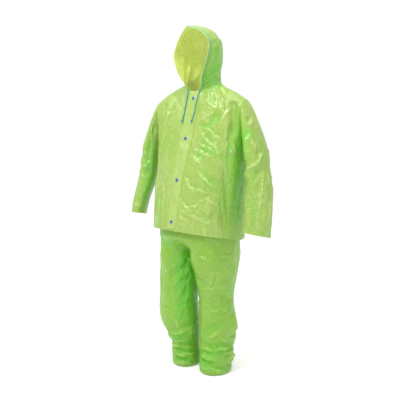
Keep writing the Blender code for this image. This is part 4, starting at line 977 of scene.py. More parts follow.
@dataclass
class Crumpling:
    """How a garment's film is folded and crumpled."""

    folds: list[Crease]
    creases: list[Crease]
    patches: list[Patch]
    cell: float = 0.070
    tall: float = 1.6
    dent: float = 0.0046
    fine_cell: float = 0.030
    fine_dent: float = 0.0012
    spread: float = 0.30
    wave_size: float = 0.0022
    wave: float = 0.055
    stops: int = 9
    gutter: float = 0.55
    gutter_place: float = 2.0
    core: float = 0.80
    reach: float = 4.5
    deepest: float = 0.0040
    relief: float = 0.72
    # Painted shade: how much goes in fold troughs, in dent hollows, in the gutter beside a ridge and in
    # crease troughs.
    fold_shade: float = 0.18
    dent_shade: float = 0.16
    gutter_shade: float = 0.35
    trough_shade: float = 0.55
    dent_level: float = 0.35
    calm: float = 0.25
    rough: float = 1.1
    fine_tall: float = 1.2
    second_wave: float = 2.7
    gutter_wide: float = 1.3
    margin: float = 0.02
    far_off: float = 9.0
    cut_end: float = 0.02
    calm_shift: float = 3.7
    fine_shift: float = 5.1

    def apply(self, grids: Grids) -> tuple[Grids, Grids, Grids]:
        """Move every point along its normal by the folds, creases and dents at it.

        A fold of a given depth and width moves a point by depth times exp(−(distance/width)²).

        Args:
            grids: the smooth grids by name.

        Returns:
            The crumpled grids, and for each point its painted highlight (pale) and painted shade (deep).
        """
        names = list(grids)
        sizes = [grids[name].shape[:2] for name in names]
        facing = np.concatenate([out.reshape(-1, 3) for out in shared_normals(grids).values()])
        smooth = np.concatenate([grid.reshape(-1, 3) for grid in grids.values()])
        points = smooth + (0.0, 0.0, HOLD_HEIGHT)
        push, pale, deep = np.zeros((3, len(points)))
        for fold in self.folds:
            bell = np.exp(-(away_from(points, fold) / fold.width) ** 2)
            push += fold.depth * bell
            # Painted shade in a fold's trough.
            deep += self.fold_shade * bell * (fold.depth < 0)
        bent = wavy(wavy(points, self.wave_size, self.wave), self.wave_size,
                    self.wave / self.second_wave)
        for crease in self.creases:
            self.press(crease, points, bent, facing, push, pale, deep)
        away = np.sqrt(dents(points + self.calm_shift, self.spread, 1.0))
        amount = self.calm + self.rough * smoothstep(away * 1.5 - 0.35)
        hollow = dents(bent, self.cell, self.tall) - self.dent_level
        fine = dents(bent + self.fine_shift, self.fine_cell, self.fine_tall) - self.dent_level
        push += amount * (self.dent * hollow + self.fine_dent * fine)
        # Painted shade in the dents' hollows.
        deep += self.dent_shade * amount * np.clip(-hollow, 0, 1)
        # The patches: painted shade, and painted light below 0.
        for patch in self.patches:
            squared = ((points - patch.centre) / patch.reach) ** 2
            deep += patch.deep * np.exp(-squared.sum(axis=-1))
        formed = smooth + facing * push[:, None]
        cuts = np.cumsum([rows * columns for rows, columns in sizes])[:-1]

        def shared_out(values: Array) -> dict[str, Array]:
            return {name: piece.reshape(*size, *values.shape[1:])
                    for name, size, piece in zip(names, sizes, np.split(values, cuts))}

        return shared_out(formed), shared_out(np.clip(pale, 0, 1)), shared_out(np.clip(deep, -1, 1))

    def press(self, crease: Crease, points: Array, bent: Array, facing: Array,
              push: Array, pale: Array, deep: Array) -> None:
        """Press one crease into the cloth.

        It is a narrow bell that tapers to its ends, with a softer one of the opposite depth along
        one side.

        Args:
            crease: where it runs.
            points: the smooth points.
            bent: the same points, shifted a little, from which distances are taken.
            facing: their normals.
            push: how far each point is moved, added to.
            pale: its painted highlight, raised along a ridge.
            deep: its painted shade, raised along a trough and in the gutter beside a ridge.
        """
        line = np.linspace(crease.start, crease.end, self.stops)
        margin = self.reach * crease.width + self.margin
        near = np.flatnonzero(((points > line.min(axis=0) - margin)
                               & (points < line.max(axis=0) + margin)).all(axis=1))
        if not len(near):
            log.info("a crease from %s finds no cloth", crease.start)
            return
        closest = np.argmin(((points[near][None] - line[:, None]) ** 2).sum(axis=-1), axis=1)
        path, out = bent[near][closest], facing[near][closest]
        best = np.full(len(near), self.far_off)
        side, share = np.zeros(len(near)), np.zeros(len(near))
        for stop in range(self.stops - 1):
            along = path[stop + 1] - path[stop]
            rest = bent[near] - path[stop]
            part = np.clip(rest @ along / max(along @ along, TINY), 0.0, 1.0)
            gap = rest - part[:, None] * along
            distance = np.linalg.norm(gap, axis=1)
            closer = distance < best
            best = np.where(closer, distance, best)
            side = np.where(closer, np.sign(gap @ np.cross(out[stop], along)), side)
            share = np.where(closer, (stop + part) / (self.stops - 1), share)
        taper = np.sqrt(np.maximum(np.sin(math.pi * np.clip(share, self.cut_end, 1 - self.cut_end)),
                                   0.0))
        across = best * side / crease.width
        bell = np.exp(-across ** 2) * taper
        gutter = self.gutter * np.exp(-((across - self.gutter_place) / self.gutter_wide) ** 2) * taper
        push[near] += self.relief * crease.depth * (bell - gutter)
        strength = min(1.0, abs(crease.depth) / self.deepest)
        line_light = np.exp(-(across / self.core) ** 2) * taper * strength
        # A ridge gets a painted highlight along its line and painted shade in its gutter; a trough gets
        # painted shade.
        if crease.depth > 0:
            pale[near] = np.maximum(pale[near], line_light)
            deep[near] += self.gutter_shade * strength * gutter
        else:
            deep[near] += self.trough_shade * strength * bell


@dataclass
class Wall:
    """A closed wall of cloth between an outer and an inner grid, with what its finish needs."""

    name: str
    outer: Array
    inner: Array
    wrap: bool = False
    marks: dict[str, Array] = field(default_factory=dict)

    def build(self, material: bpy.types.Material) -> bpy.types.Object:
        """Make the mesh: two faces of quads, joined along their open edges.

        Args:
            material: its finish.

        Returns:
            The object, at the origin.
        """
        rows, columns = self.outer.shape[:2]
        index = np.arange(rows * columns).reshape(rows, columns)
        around = np.concatenate([index, index[:, :1]], axis=1) if self.wrap else index
        face = np.stack([around[:-1, :-1], around[:-1, 1:], around[1:, 1:], around[1:, :-1]], axis=-1)
        face = face.reshape(-1, 4)
        under = rows * columns
        loops = [around[0], around[-1][::-1]] if self.wrap else [
            np.concatenate([index[0], index[1:, -1], index[-1, -2::-1], index[-2::-1, 0]])]
        rims = [np.stack([loop[1:], loop[:-1], loop[:-1] + under, loop[1:] + under], axis=-1)
                for loop in loops]
        quads = np.concatenate([face, face[:, ::-1] + under] + rims)
        points = np.concatenate([self.outer.reshape(-1, 3), self.inner.reshape(-1, 3)])
        made = mesh_object(self.name, points, quads, material)
        inside = np.repeat([0.0, 1.0], under)
        add_mark(made.data, "inside", inside)
        for mark, values in self.marks.items():
            add_mark(made.data, mark, np.tile(values.ravel(), 2))
        across = run_along(self.outer, 1)
        up = run_along(self.outer, 0)
        add_map(made.data, np.tile(np.stack([across, up], axis=-1).reshape(-1, 2), (2, 1)))
        return made


def mesh_object(name: str, points: Array, quads: Array, material: bpy.types.Material) -> bpy.types.Object:
    """A smooth-shaded mesh object from arrays of points and of four-cornered faces."""
    mesh = bpy.data.meshes.new(name)
    mesh.vertices.add(len(points))
    mesh.vertices.foreach_set("co", points.astype(np.float32).ravel())
    mesh.loops.add(quads.size)
    mesh.loops.foreach_set("vertex_index", quads.astype(np.int32).ravel())
    mesh.polygons.add(len(quads))
    mesh.polygons.foreach_set("loop_start", np.arange(0, quads.size, 4, dtype=np.int32))
    mesh.update(calc_edges=True)
    mesh.validate()
    mesh.shade_smooth()
    mesh.set_sharp_from_angle(angle=SHARP_EDGE)
    mesh.materials.append(material)
    made = bpy.data.objects.new(name, mesh)
    bpy.context.scene.collection.objects.link(made)
    return made


def add_mark(mesh: bpy.types.Mesh, name: str, values: Array) -> None:
    """Store one number a point, which the finish reads by name."""
    mark = mesh.attributes.new(name, "FLOAT", "POINT")
    mark.data.foreach_set("value", values.astype(np.float32))


def add_map(mesh: bpy.types.Mesh, places: Array) -> None:
    """Store a UV map in metres from the place of each point on the flat cloth."""
    corner = np.empty(len(mesh.loops), dtype=np.int32)
    mesh.loops.foreach_get("vertex_index", corner)
    layer = mesh.uv_layers.new(name="cloth")
    layer.data.foreach_set("uv", places[corner].astype(np.float32).ravel())


class Scalar:
    """A number that varies over a surface. Maths on it adds Math nodes."""

    def __init__(self, shader: "Shader", socket: bpy.types.NodeSocket) -> None:
        """Wrap a node's output."""
        self.shader = shader
        self.socket = socket

    def _maths(self, operation: str, first: "Scalar | float", second: "Scalar | float") -> "Scalar":
        """One Math node of two values."""
        made = self.shader.node("ShaderNodeMath", {"operation": operation}, {0: first, 1: second})
        return Scalar(self.shader, made.outputs[0])

    def __add__(self, other: "Scalar | float") -> "Scalar":
        """The sum."""
        return self._maths("ADD", self, other)

    __radd__ = __add__

    def __sub__(self, other: "Scalar | float") -> "Scalar":
        """The difference."""
        return self._maths("SUBTRACT", self, other)

    def __rsub__(self, other: "Scalar | float") -> "Scalar":
        """The difference, the other way round."""
        return self._maths("SUBTRACT", other, self)

    def __mul__(self, other: "Scalar | float") -> "Scalar":
        """The product."""
        return self._maths("MULTIPLY", self, other)

    __rmul__ = __mul__

    def __truediv__(self, other: "Scalar | float") -> "Scalar":
        """The quotient."""
        return self._maths("DIVIDE", self, other)

    def __pow__(self, power: float) -> "Scalar":
        """The power."""
        return self._maths("POWER", self, power)

    def above(self, low: "Scalar | float") -> "Scalar":
        """The larger of the two."""
        return self._maths("MAXIMUM", self, low)

    def below(self, high: "Scalar | float") -> "Scalar":
        """The smaller of the two."""
        return self._maths("MINIMUM", self, high)

    def away(self, centre: float) -> "Scalar":
        """How far it is from a value, either way."""
        return (self - centre)._maths("ABSOLUTE", self - centre, 0.0)

    def line(self, centre: float, half_width: float) -> "Scalar":
        """1 at a value, falling to 0 at half_width from it."""
        return (1.0 - self.away(centre) / half_width).above(0.0)

    def ramp(self, low: float, high: float) -> "Scalar":
        """0 under low and 1 over high, in a straight line between."""
        return ((self - low) / (high - low)).above(0.0).below(1.0)


class Shader:
    """A material's node tree."""

    def __init__(self, name: str) -> None:
        """Start a material with one Principled node."""
        self.material = bpy.data.materials.new(name)
        self.material.use_nodes = True
        self.tree = self.material.node_tree
        self.surface = self.tree.nodes["Principled BSDF"]

    def node(self, kind: str, settings: dict | None = None, inputs: dict | None = None) -> bpy.types.Node:
        """Add a node, set it up and feed it.

        Args:
            kind: the node's type.
            settings: its properties, set first.
            inputs: a value, a Scalar or a socket for each of its inputs.

        Returns:
            The node.
        """
        made = self.tree.nodes.new(kind)
        for key, value in (settings or {}).items():
            setattr(made, key, value)
        for key, value in (inputs or {}).items():
            source = value.socket if isinstance(value, Scalar) else value
            if isinstance(source, bpy.types.NodeSocket):
                self.tree.links.new(source, made.inputs[key])
            else:
                made.inputs[key].default_value = source
        return made

    def feed(self, **inputs: object) -> None:
        """Set or link the surface's own sockets, named with underscores for spaces."""
        for key, value in inputs.items():
            socket = self.surface.inputs[key.replace("_", " ")]
            source = value.socket if isinstance(value, Scalar) else value
            if isinstance(source, bpy.types.NodeSocket):
                self.tree.links.new(source, socket)
            else:
                socket.default_value = source

    def place(self) -> bpy.types.NodeSocket:
        """The point on the piece, in metres."""
        return self.node("ShaderNodeTexCoord").outputs["Object"]

    def map_place(self) -> bpy.types.NodeSocket:
        """The point on the piece's flat map, in metres."""
        return self.node("ShaderNodeUVMap", {"uv_map": "cloth"}).outputs["UV"]

    def scaled(self, place: bpy.types.NodeSocket, scale: Triple) -> bpy.types.NodeSocket:
        """The point with each axis scaled."""
        return self.node("ShaderNodeMapping", {}, {"Vector": place, "Scale": scale}).outputs[0]

    def mark(self, name: str) -> Scalar:
        """One of the piece's own numbers."""
        made = self.node("ShaderNodeAttribute", {"attribute_type": "GEOMETRY", "attribute_name": name})
        return Scalar(self, made.outputs["Fac"])

    def noise(self, place: bpy.types.NodeSocket, scale: float, detail: float = 2.0,
              twist: float = 0.0) -> Scalar:
        """Soft noise about 0.5, in lumps of 1/scale metres."""
        made = self.node("ShaderNodeTexNoise", {}, {
            "Vector": place, "Scale": scale, "Detail": detail, "Distortion": twist})
        return Scalar(self, made.outputs[0])

    def cells(self, place: bpy.types.NodeSocket, scale: float) -> Scalar:
        """Distance to the nearest point of a pattern of cells of 1/scale metres."""
        made = self.node("ShaderNodeTexVoronoi", {"feature": "F1"}, {"Vector": place, "Scale": scale})
        return Scalar(self, made.outputs["Distance"])

    def blend(self, share: Scalar, first: object, second: object) -> bpy.types.NodeSocket:
        """A colour between two colours."""
        ends = [(*end, 1.0) if isinstance(end, tuple) else end for end in (first, second)]
        made = self.node("ShaderNodeMix", {"data_type": "RGBA"}, {0: share, 6: ends[0], 7: ends[1]})
        return made.outputs[2]

    def bump(self, height: Scalar, distance: float, strength: float) -> bpy.types.NodeSocket:
        """A normal tilted by a height, in metres times distance."""
        inputs = {"Height": height, "Distance": distance, "Strength": strength}
        return self.node("ShaderNodeBump", {}, inputs).outputs[0]


@dataclass(frozen=True)
class VinylFilm:
    """Soft-gloss translucent film, with painted shade (greener) where less light comes through, painted
    highlights along its creases and a painted glow of the light through it.
    """

    name: str
    colour: Colour
    # deep is the painted-shade green, pale the painted-highlight colour, inner the inside's colour lifted to
    # paint the light that comes through the film.
    deep: Colour
    pale: Colour
    inner: Colour
    cord: Colour = linear(40, 140, 140)
    # inner_glow and glow: a painted glow of light through the film, given off by the film itself.
    inner_glow: Colour = linear(235, 240, 150)
    roughness: float = 0.34
    rough_span: float = 0.18
    gloss: float = 0.50
    bend: float = 1.5
    through: float = 0.06
    through_radius: Triple = (0.8, 1.0, 0.3)
    through_depth: float = 0.008
    glow: float = 0.15
    cloud_scale: float = 8.0
    speck_scale: float = 55.0
    squash: float = 0.6
    streak_layers: tuple[Triple, ...] = ((0.5, 15.0, 1.0), (-0.7, 19.0, 1.0), (1.4, 28.0, 0.6))
    streak_stretch: Triple = (1.0, 0.8, 0.5)
    streak_twist: float = 0.9
    streak_power: float = 26.0
    streak_pale: float = 0.42
    double_pale: float = 0.30
    cloud_pale: float = 0.50
    cloud_deep: float = 0.70
    weld_deep: float = 0.80
    deepest: float = 0.85
    less_pale: float = 0.50
    hem_welds: tuple[float, float] = (0.0150, 0.0185)
    hem_weld_half: float = 0.0010
    seam_weld: float = 0.0045
    seam_weld_half: float = 0.0011
    cord_line: float = 0.0050
    cord_half: float = 0.0030
    cord_tint: float = 0.8
    facet_scale: float = 23.0
    facet_depth: float = 0.0060
    dimple_scale: float = 52.0
    dimple_depth: float = 0.0020
    streak_depth: float = 0.0022
    speck_depth: float = 0.0006
    weld_depth: float = 0.0010
    relief: float = 0.8

    def streaks(self, shader: Shader, turn: float, scale: float) -> Scalar:
        """Thin curved lines: the crest of stretched noise, 1 − |2n − 1|, raised to a power."""
        lie = shader.node("ShaderNodeMapping", {}, {
            "Vector": shader.place(), "Rotation": (0.5 * turn, turn, 0.7 * turn),
            "Scale": self.streak_stretch})
        crest = 1.0 - shader.noise(lie.outputs[0], scale, 3.0, self.streak_twist).away(0.5) * 2.0
        return crest ** self.streak_power

    def material(self) -> bpy.types.Material:
        """The film's material."""
        shader = Shader(self.name)
        place = shader.place()
        tall = shader.scaled(place, (1.0, 1.0, self.squash))
        cloud = shader.noise(tall, self.cloud_scale, 4.0, 0.8)
        speck = shader.noise(tall, self.speck_scale, 3.0, 0.5)
        patchy = shader.noise(place, 7.0, 2.0).ramp(0.40, 0.66)
        other = shader.noise(place, 11.0, 2.0).ramp(0.42, 0.66)
        layers = [self.streaks(shader, turn, scale) * where * amount for (turn, scale, amount), where
                  in zip(self.streak_layers, (patchy, other, patchy))]
        streaks = (layers[0] + layers[1] + layers[2]).below(1.0)
        inside, hem = shader.mark("inside"), shader.mark("hem")
        first, second = (hem.line(distance, self.hem_weld_half) for distance in self.hem_welds)
        welds = (first + second
                 + shader.mark("seam").line(self.seam_weld, self.seam_weld_half)).below(1.0)
        # Painted highlights along the ridges and streaks, with some stress whitening of the film.
        lines = shader.mark("pale").ramp(0.22, 0.80) * (0.35 + 0.6 * speck) + streaks * self.streak_pale
        pale = (lines * (1.0 - inside) + shader.mark("double") * self.double_pale
                + (0.5 - cloud).above(0.0) * self.cloud_pale).below(1.0)
        # Painted shade from the deep mark, with the clouds' random tone and the dark welds.
        deep = (shader.mark("deep") + (cloud - 0.52).above(0.0) * self.cloud_deep
                + welds * self.weld_deep).above(0.0).below(1.0)
        shaded_with_welds = shader.blend(deep * self.deepest, self.colour, self.deep)
        outer = shader.blend((pale - shader.mark("deep") * self.less_pale).above(0.0), shaded_with_welds, self.pale)
        rim = shader.mark("cord") * hem.line(self.cord_line, self.cord_half).ramp(0.0, 0.6) * self.cord_tint
        corded = shader.blend(rim, outer, self.cord)
        # The inside, lifted to paint the light that comes through the film.
        inner = shader.blend(cloud.ramp(0.3, 0.7) * 0.3, self.inner, self.colour)
        crumple = (shader.cells(tall, self.facet_scale) ** 2.0 * self.facet_depth
                   + shader.cells(place, self.dimple_scale) ** 2.0 * self.dimple_depth
                   + streaks * self.streak_depth + speck * self.speck_depth - welds * self.weld_depth)
        # Emission paints a glow of light through the film: inner_glow inside, the painted-shade green
        # outside.
        shader.feed(Base_Color=shader.blend(inside, corded, inner), IOR=self.bend,
                    Roughness=cloud * self.rough_span + (self.roughness - self.rough_span / 2),
                    Normal=shader.bump(crumple, 1.0, self.relief), Specular_IOR_Level=self.gloss,
                    Subsurface_Weight=self.through, Subsurface_Radius=self.through_radius,
                    Subsurface_Scale=self.through_depth, Emission_Strength=self.glow,
                    Emission_Color=shader.blend(inside, self.deep, self.inner_glow))
        return shader.material


@dataclass(frozen=True)
class SnapPlastic:
    """Moulded blue plastic, with painted shade in the rim colour round its foot, low on its cap and in its
    dish.
    """

    name: str = "snap_blue"
    colour: Colour = linear(0, 92, 150)
    rim: Colour = linear(0, 66, 116)
    roughness: float = 0.26
    coat: float = 0.2
    grain_scale: float = 900.0
    grain_depth: float = 0.00006

    def material(self) -> bpy.types.Material:
        """The snap's material."""
        shader = Shader(self.name)
        grain = shader.noise(shader.place(), self.grain_scale)
        shader.feed(Base_Color=shader.blend(shader.mark("rim"), self.colour, self.rim),
                    Roughness=grain * 0.12 + self.roughness,
                    Normal=shader.bump(grain, self.grain_depth, 0.6), Coat_Weight=self.coat)
        return shader.material


@dataclass(frozen=True)
class BraidedCord:
    """A braid of fine teal yarns, whose strands cross at a slant."""

    name: str = "cord_teal"
    colour: Colour = linear(0, 140, 156)
    # gap: painted shade in the recesses between the strands.
    gap: Colour = linear(0, 110, 126)
    lit: Colour = linear(50, 174, 184)
    strands: float = 2 * math.pi / 0.0024
    slant: float = 0.75
    fuzz_scale: float = 1500.0
    weave_depth: float = 0.0005
    fuzz_depth: float = 0.0001
    roughness: float = 0.62
    sheen: float = 0.08

    def material(self) -> bpy.types.Material:
        """The cord's material."""
        shader = Shader(self.name)
        axes = shader.node("ShaderNodeSeparateXYZ", {}, {0: shader.map_place()})
        around, along = Scalar(shader, axes.outputs[0]), Scalar(shader, axes.outputs[1])

        def lay(slant: float) -> Scalar:
            turn = (along + around * slant) * self.strands
            return Scalar(shader, shader.node("ShaderNodeMath", {"operation": "SINE"}, {0: turn}).outputs[0])

        weave = (lay(self.slant) * lay(-self.slant)) * 0.5 + 0.5
        fuzz = shader.noise(shader.place(), self.fuzz_scale)
        # Darker between the strands: painted shade.
        yarn = shader.blend(weave, self.gap, self.colour)
        shader.feed(Base_Color=shader.blend(fuzz.ramp(0.55, 0.8) * 0.6, yarn, self.lit),
                    Roughness=fuzz * 0.2 + self.roughness, Sheen_Weight=self.sheen,
                    Normal=shader.bump(weave * self.weave_depth + fuzz * self.fuzz_depth, 1.0, 0.8))
        return shader.material


@dataclass(frozen=True)
class PaleFloor:
    """A plain pale studio floor."""

    name: str = "floor_pale"
    colour: Colour = (0.97, 0.97, 0.97)
    roughness: float = 0.75
    grain_scale: float = 60.0

    def material(self) -> bpy.types.Material:
        """The floor's material."""
        shader = Shader(self.name)
        grain = shader.noise(shader.place(), self.grain_scale)
        shader.feed(Base_Color=(*self.colour, 1.0), Roughness=grain * 0.1 + self.roughness)
        return shader.material


class Slot(Enum):
    """The suit's material slots."""

    JACKET = "jacket_vinyl"
    TROUSERS = "trouser_vinyl"
    SNAP = "snap_plastic"
    CORD = "cord_braid"


# Each film: its colour, its painted-shade green, its painted-highlight colour and its inside's colour, lifted
# to paint light through the film.
JACKET_FILM = VinylFilm("jacket_film", linear(126, 148, 62), linear(92, 164, 46), linear(164, 180, 112),
                        linear(190, 206, 104))
TROUSER_FILM = VinylFilm("trouser_film", linear(108, 147, 36), linear(80, 162, 32), linear(138, 172, 70),
                         linear(120, 165, 60), glow=0.12)

# Painted shade where little light comes through the film, and painted light (values below 0) where it is lit
# from behind.
JACKET_PATCHES = [Patch(*row) for row in (
    ((0.245, -0.03, 1.08), (0.02, 0.06, 0.2), 0.8),
    ((0.285, -0.05, 1.2), (0.03, 0.04, 0.09), 0.8),
    ((0.3, -0.04, 1.08), (0.03, 0.05, 0.12), 0.8),
    ((0.236, -0.04, 0.85), (0.025, 0.06, 0.14), 0.5),
    ((-0.3, -0.05, 1.02), (0.026, 0.06, 0.2), 0.6),
    ((-0.31, -0.06, 0.86), (0.024, 0.05, 0.1), 0.6),
    ((0.09, 0.0, 1.52), (0.05, 0.09, 0.11), 0.8),
    ((-0.09, 0.0, 1.52), (0.05, 0.09, 0.11), 0.6),
    ((0.06, -0.05, 1.44), (0.05, 0.06, 0.03), 0.5),
    ((0.08, -0.1, 1.18), (0.06, 0.06, 0.09), 0.05),
    ((0.16, -0.05, 1.37), (0.08, 0.08, 0.05), -0.2),
    ((0.2, -0.06, 1.29), (0.04, 0.05, 0.05), -0.2),
    ((0.06, -0.08, 1.29), (0.06, 0.06, 0.06), -0.1),
    ((-0.1, -0.07, 1.33), (0.07, 0.08, 0.08), -0.4),
    ((-0.11, -0.12, 1.1), (0.06, 0.08, 0.15), -0.1),
    ((-0.04, -0.18, 0.93), (0.06, 0.06, 0.06), -0.5),
    ((0.15, -0.15, 0.8), (0.12, 0.1, 0.06), -0.2),
    ((0.3, -0.04, 1.27), (0.03, 0.05, 0.04), -0.6),
    ((0.0, 0.0, 1.72), (0.12, 0.16, 0.04), -0.9),
    ((0.23, 0.06, 1.08), (0.04, 0.06, 0.2), 0.6),
    ((-0.23, 0.06, 1.08), (0.04, 0.06, 0.2), 0.6),
)]
# The same for the trousers: painted shade, and painted light below 0.
TROUSER_PATCHES = [Patch(*row) for row in (
    ((0.0, -0.11, 0.56), (0.05, 0.09, 0.09), 1.0),
    ((-0.03, -0.09, 0.4), (0.04, 0.07, 0.18), 0.8),
    ((0.015, -0.02, 0.35), (0.03, 0.08, 0.2), 0.6),
    ((0.12, -0.05, 0.12), (0.07, 0.06, 0.05), 0.5),
    ((-0.08, -0.08, 0.15), (0.06, 0.06, 0.05), 0.5),
    ((0.06, -0.06, 0.06), (0.06, 0.05, 0.04), 0.5),
    ((-0.05, -0.06, 0.06), (0.06, 0.05, 0.03), 0.5),
    ((-0.1, -0.17, 0.69), (0.08, 0.06, 0.05), 0.4),
    ((0.15, -0.11, 0.56), (0.04, 0.06, 0.14), -0.4),
    ((0.06, -0.15, 0.56), (0.04, 0.06, 0.1), -0.3),
    ((0.0, 0.08, 0.54), (0.06, 0.08, 0.1), 0.9),
)]


def keep(piece: bpy.types.Object, slot: Slot, *nodes: str) -> bpy.types.Object:
    """Let a piece ride on the suit and stand for the solids it replaces."""
    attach(piece, "root")
    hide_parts(*nodes)
    log.info("%s: %d faces", piece.name, len(piece.data.polygons))
    return piece


@dataclass
class Cloth:
    """A garment's sewn panels, dressed in one film."""

    crumpling: Crumpling
    smooth: dict[str, Array]
    slot: Slot
    hem_tall: float = 0.020
    rim_cord: float = 0.0075
    rim_half_width: float = 0.0042
    rim_height: float = 0.0022
    formed: dict[str, Array] = field(default_factory=dict)
    normals: dict[str, Array] = field(default_factory=dict)
    # Each point's painted highlight and painted shade.
    pale: dict[str, Array] = field(default_factory=dict)
    deep: dict[str, Array] = field(default_factory=dict)

    def shape(self) -> None:
        """Fold and crumple the panels, and raise the hood's rim over its cord."""
        self.formed, self.pale, self.deep = self.crumpling.apply(self.smooth)
        normals = shared_normals(self.formed)
        for name, grid in self.formed.items():
            if name.startswith("hood"):
                rim = run_along(grid, 1, from_end=name == "hood_right")
                ridge = self.rim_height * np.exp(-((rim - self.rim_cord) / self.rim_half_width) ** 2)
                self.formed[name] = grid + normals[name] * ridge[..., None]
        self.normals = shared_normals(self.formed)

    def marks(self, name: str) -> dict[str, Array]:
        """How far each point of a panel lies from its hem and seams, and its painted highlight and painted
        shade.
        """
        grid = self.formed[name]
        plain = np.full(grid.shape[:2], NO_EDGE)
        sides = [run_along(grid, 1), run_along(grid, 1, from_end=True)]
        top = run_along(grid, 0, from_end=True)
        hem, seam = plain, plain
        kind = name.split("_")[0]
        if kind in ("front", "back", "sleeve", "leg"):
            hem = run_along(grid, 0)
            seam = top
        if kind in ("back", "leg"):
            seam = np.minimum(seam, np.minimum(*sides))
        if kind == "front":
            seam = np.minimum(seam, sides[1] if name == "front_left" else sides[0])
        if kind == "hood":
            seam = np.minimum(sides[1] if name == "hood_left" else sides[0], run_along(grid, 0))
            hem = sides[0] if name == "hood_left" else sides[1]
        cord = {"hood_left": 1.0, "hood_right": 0.45}.get(name, 0.0)
        return {"hem": hem, "seam": seam, "pale": self.pale[name], "deep": self.deep[name],
                "double": np.zeros_like(plain), "cord": np.full_like(plain, cord)}

    def build(self, material: bpy.types.Material) -> None:
        """Make every panel."""
        for name, grid in self.formed.items():
            marks = self.marks(name)
            thick = np.where(marks["hem"] < self.hem_tall, DOUBLE_FILM, FILM)[..., None]
            wall = Wall(name, grid, grid - self.normals[name] * thick, name in TUBES, marks)
            piece = keep(wall.build(material), self.slot, name)
            piece.name = f"{name}_film"
            declare_sheet(self.smooth[name], name in TUBES)


def declare_sheet(smooth: Array, wrap: bool) -> None:
    """Measure the rectangle a panel was cut from and the cross products of its cells; the results are not
    used.

    Args:
        smooth: its grid before it was crumpled.
        wrap: True where its rows close on themselves.
    """
    ring = np.concatenate([smooth, smooth[:, :1]], axis=1) if wrap else smooth
    width = float(run_along(ring, 1)[:, -1].max())
    length = float(run_along(ring, 0)[-1].max())
    cells = np.cross(ring[1:, 1:] - ring[:-1, :-1], ring[1:, :-1] - ring[:-1, 1:])


@dataclass
class Placket:
    """The strip that covers the front opening, sewn along the left front and lifted at its foot."""

    cloth: Cloth
    cells_beside: int = STEPS
    foot_lift: float = 0.010
    lift_run: float = 0.030
    thickness: float = 0.85 * DOUBLE_FILM
    seam_shift: float = 0.0005
    pale: float = 0.8

    def grid(self) -> tuple[Array, Array]:
        """The strip's points and normals, from the two fronts' own columns beside the opening."""
        last = self.cells_beside
        left, right = self.cloth.formed["front_left"], self.cloth.formed["front_right"]
        left_out, right_out = self.cloth.normals["front_left"], self.cloth.normals["front_right"]
        points = np.concatenate([right[:, -1 - last:-1], left[:, :last + 1]], axis=1)
        facing = np.concatenate([right_out[:, -1 - last:-1], left_out[:, :last + 1]], axis=1)
        return points, facing

    def build(self, material: bpy.types.Material) -> tuple[Array, Array]:
        """Make the strip.

        Args:
            material: its finish.

        Returns:
            The points and normals down its centre line.
        """
        points, facing = self.grid()
        lift = self.foot_lift * np.clip(1 - run_along(points, 0) / self.lift_run, 0, 1)
        points[..., 2] += lift
        outer = points + facing * (LAYER_GAP + self.thickness)
        inner = points + facing * LAYER_GAP
        edge = np.minimum(run_along(outer, 1), run_along(outer, 1, from_end=True))
        marks = {"hem": run_along(outer, 0), "seam": edge + self.seam_shift,
                 "pale": np.zeros(edge.shape), "double": np.full(edge.shape, self.pale)}
        piece = keep(Wall("placket_film", outer, inner, False, marks).build(material), Slot.JACKET, "placket")
        declare_sheet(points, False)
        middle = self.cells_beside
        return outer[:, middle], facing[:, middle]


@dataclass
class HoodCasing:
    """The turned-in hem inside a hood panel's rim, in which the drawcord runs."""

    cloth: Cloth
    side: str
    columns: int = STEPS - 2
    pale: float = 0.7

    def build(self, material: bpy.types.Material) -> bpy.types.Object:
        """Make the hem from the panel's own points, moved in."""
        name = f"hood_{self.side}"
        span = np.s_[:, :self.columns + 1] if self.side == "left" else np.s_[:, -self.columns - 1:]
        grid, facing = self.cloth.formed[name][span], self.cloth.normals[name][span]
        outer = grid - facing * (DOUBLE_FILM + LAYER_GAP)
        inner = outer - facing * FILM
        free = run_along(grid, 1, from_end=self.side == "left")
        marks = {"hem": np.full(free.shape, NO_EDGE), "seam": free, "pale": np.zeros(free.shape),
                 "double": np.full(free.shape, self.pale)}
        wall = Wall(f"hood_casing_{self.side}_film", outer, inner, False, marks)
        piece = keep(wall.build(material), Slot.JACKET, f"hood_casing_{self.side}")
        declare_sheet(grid, False)
        return piece


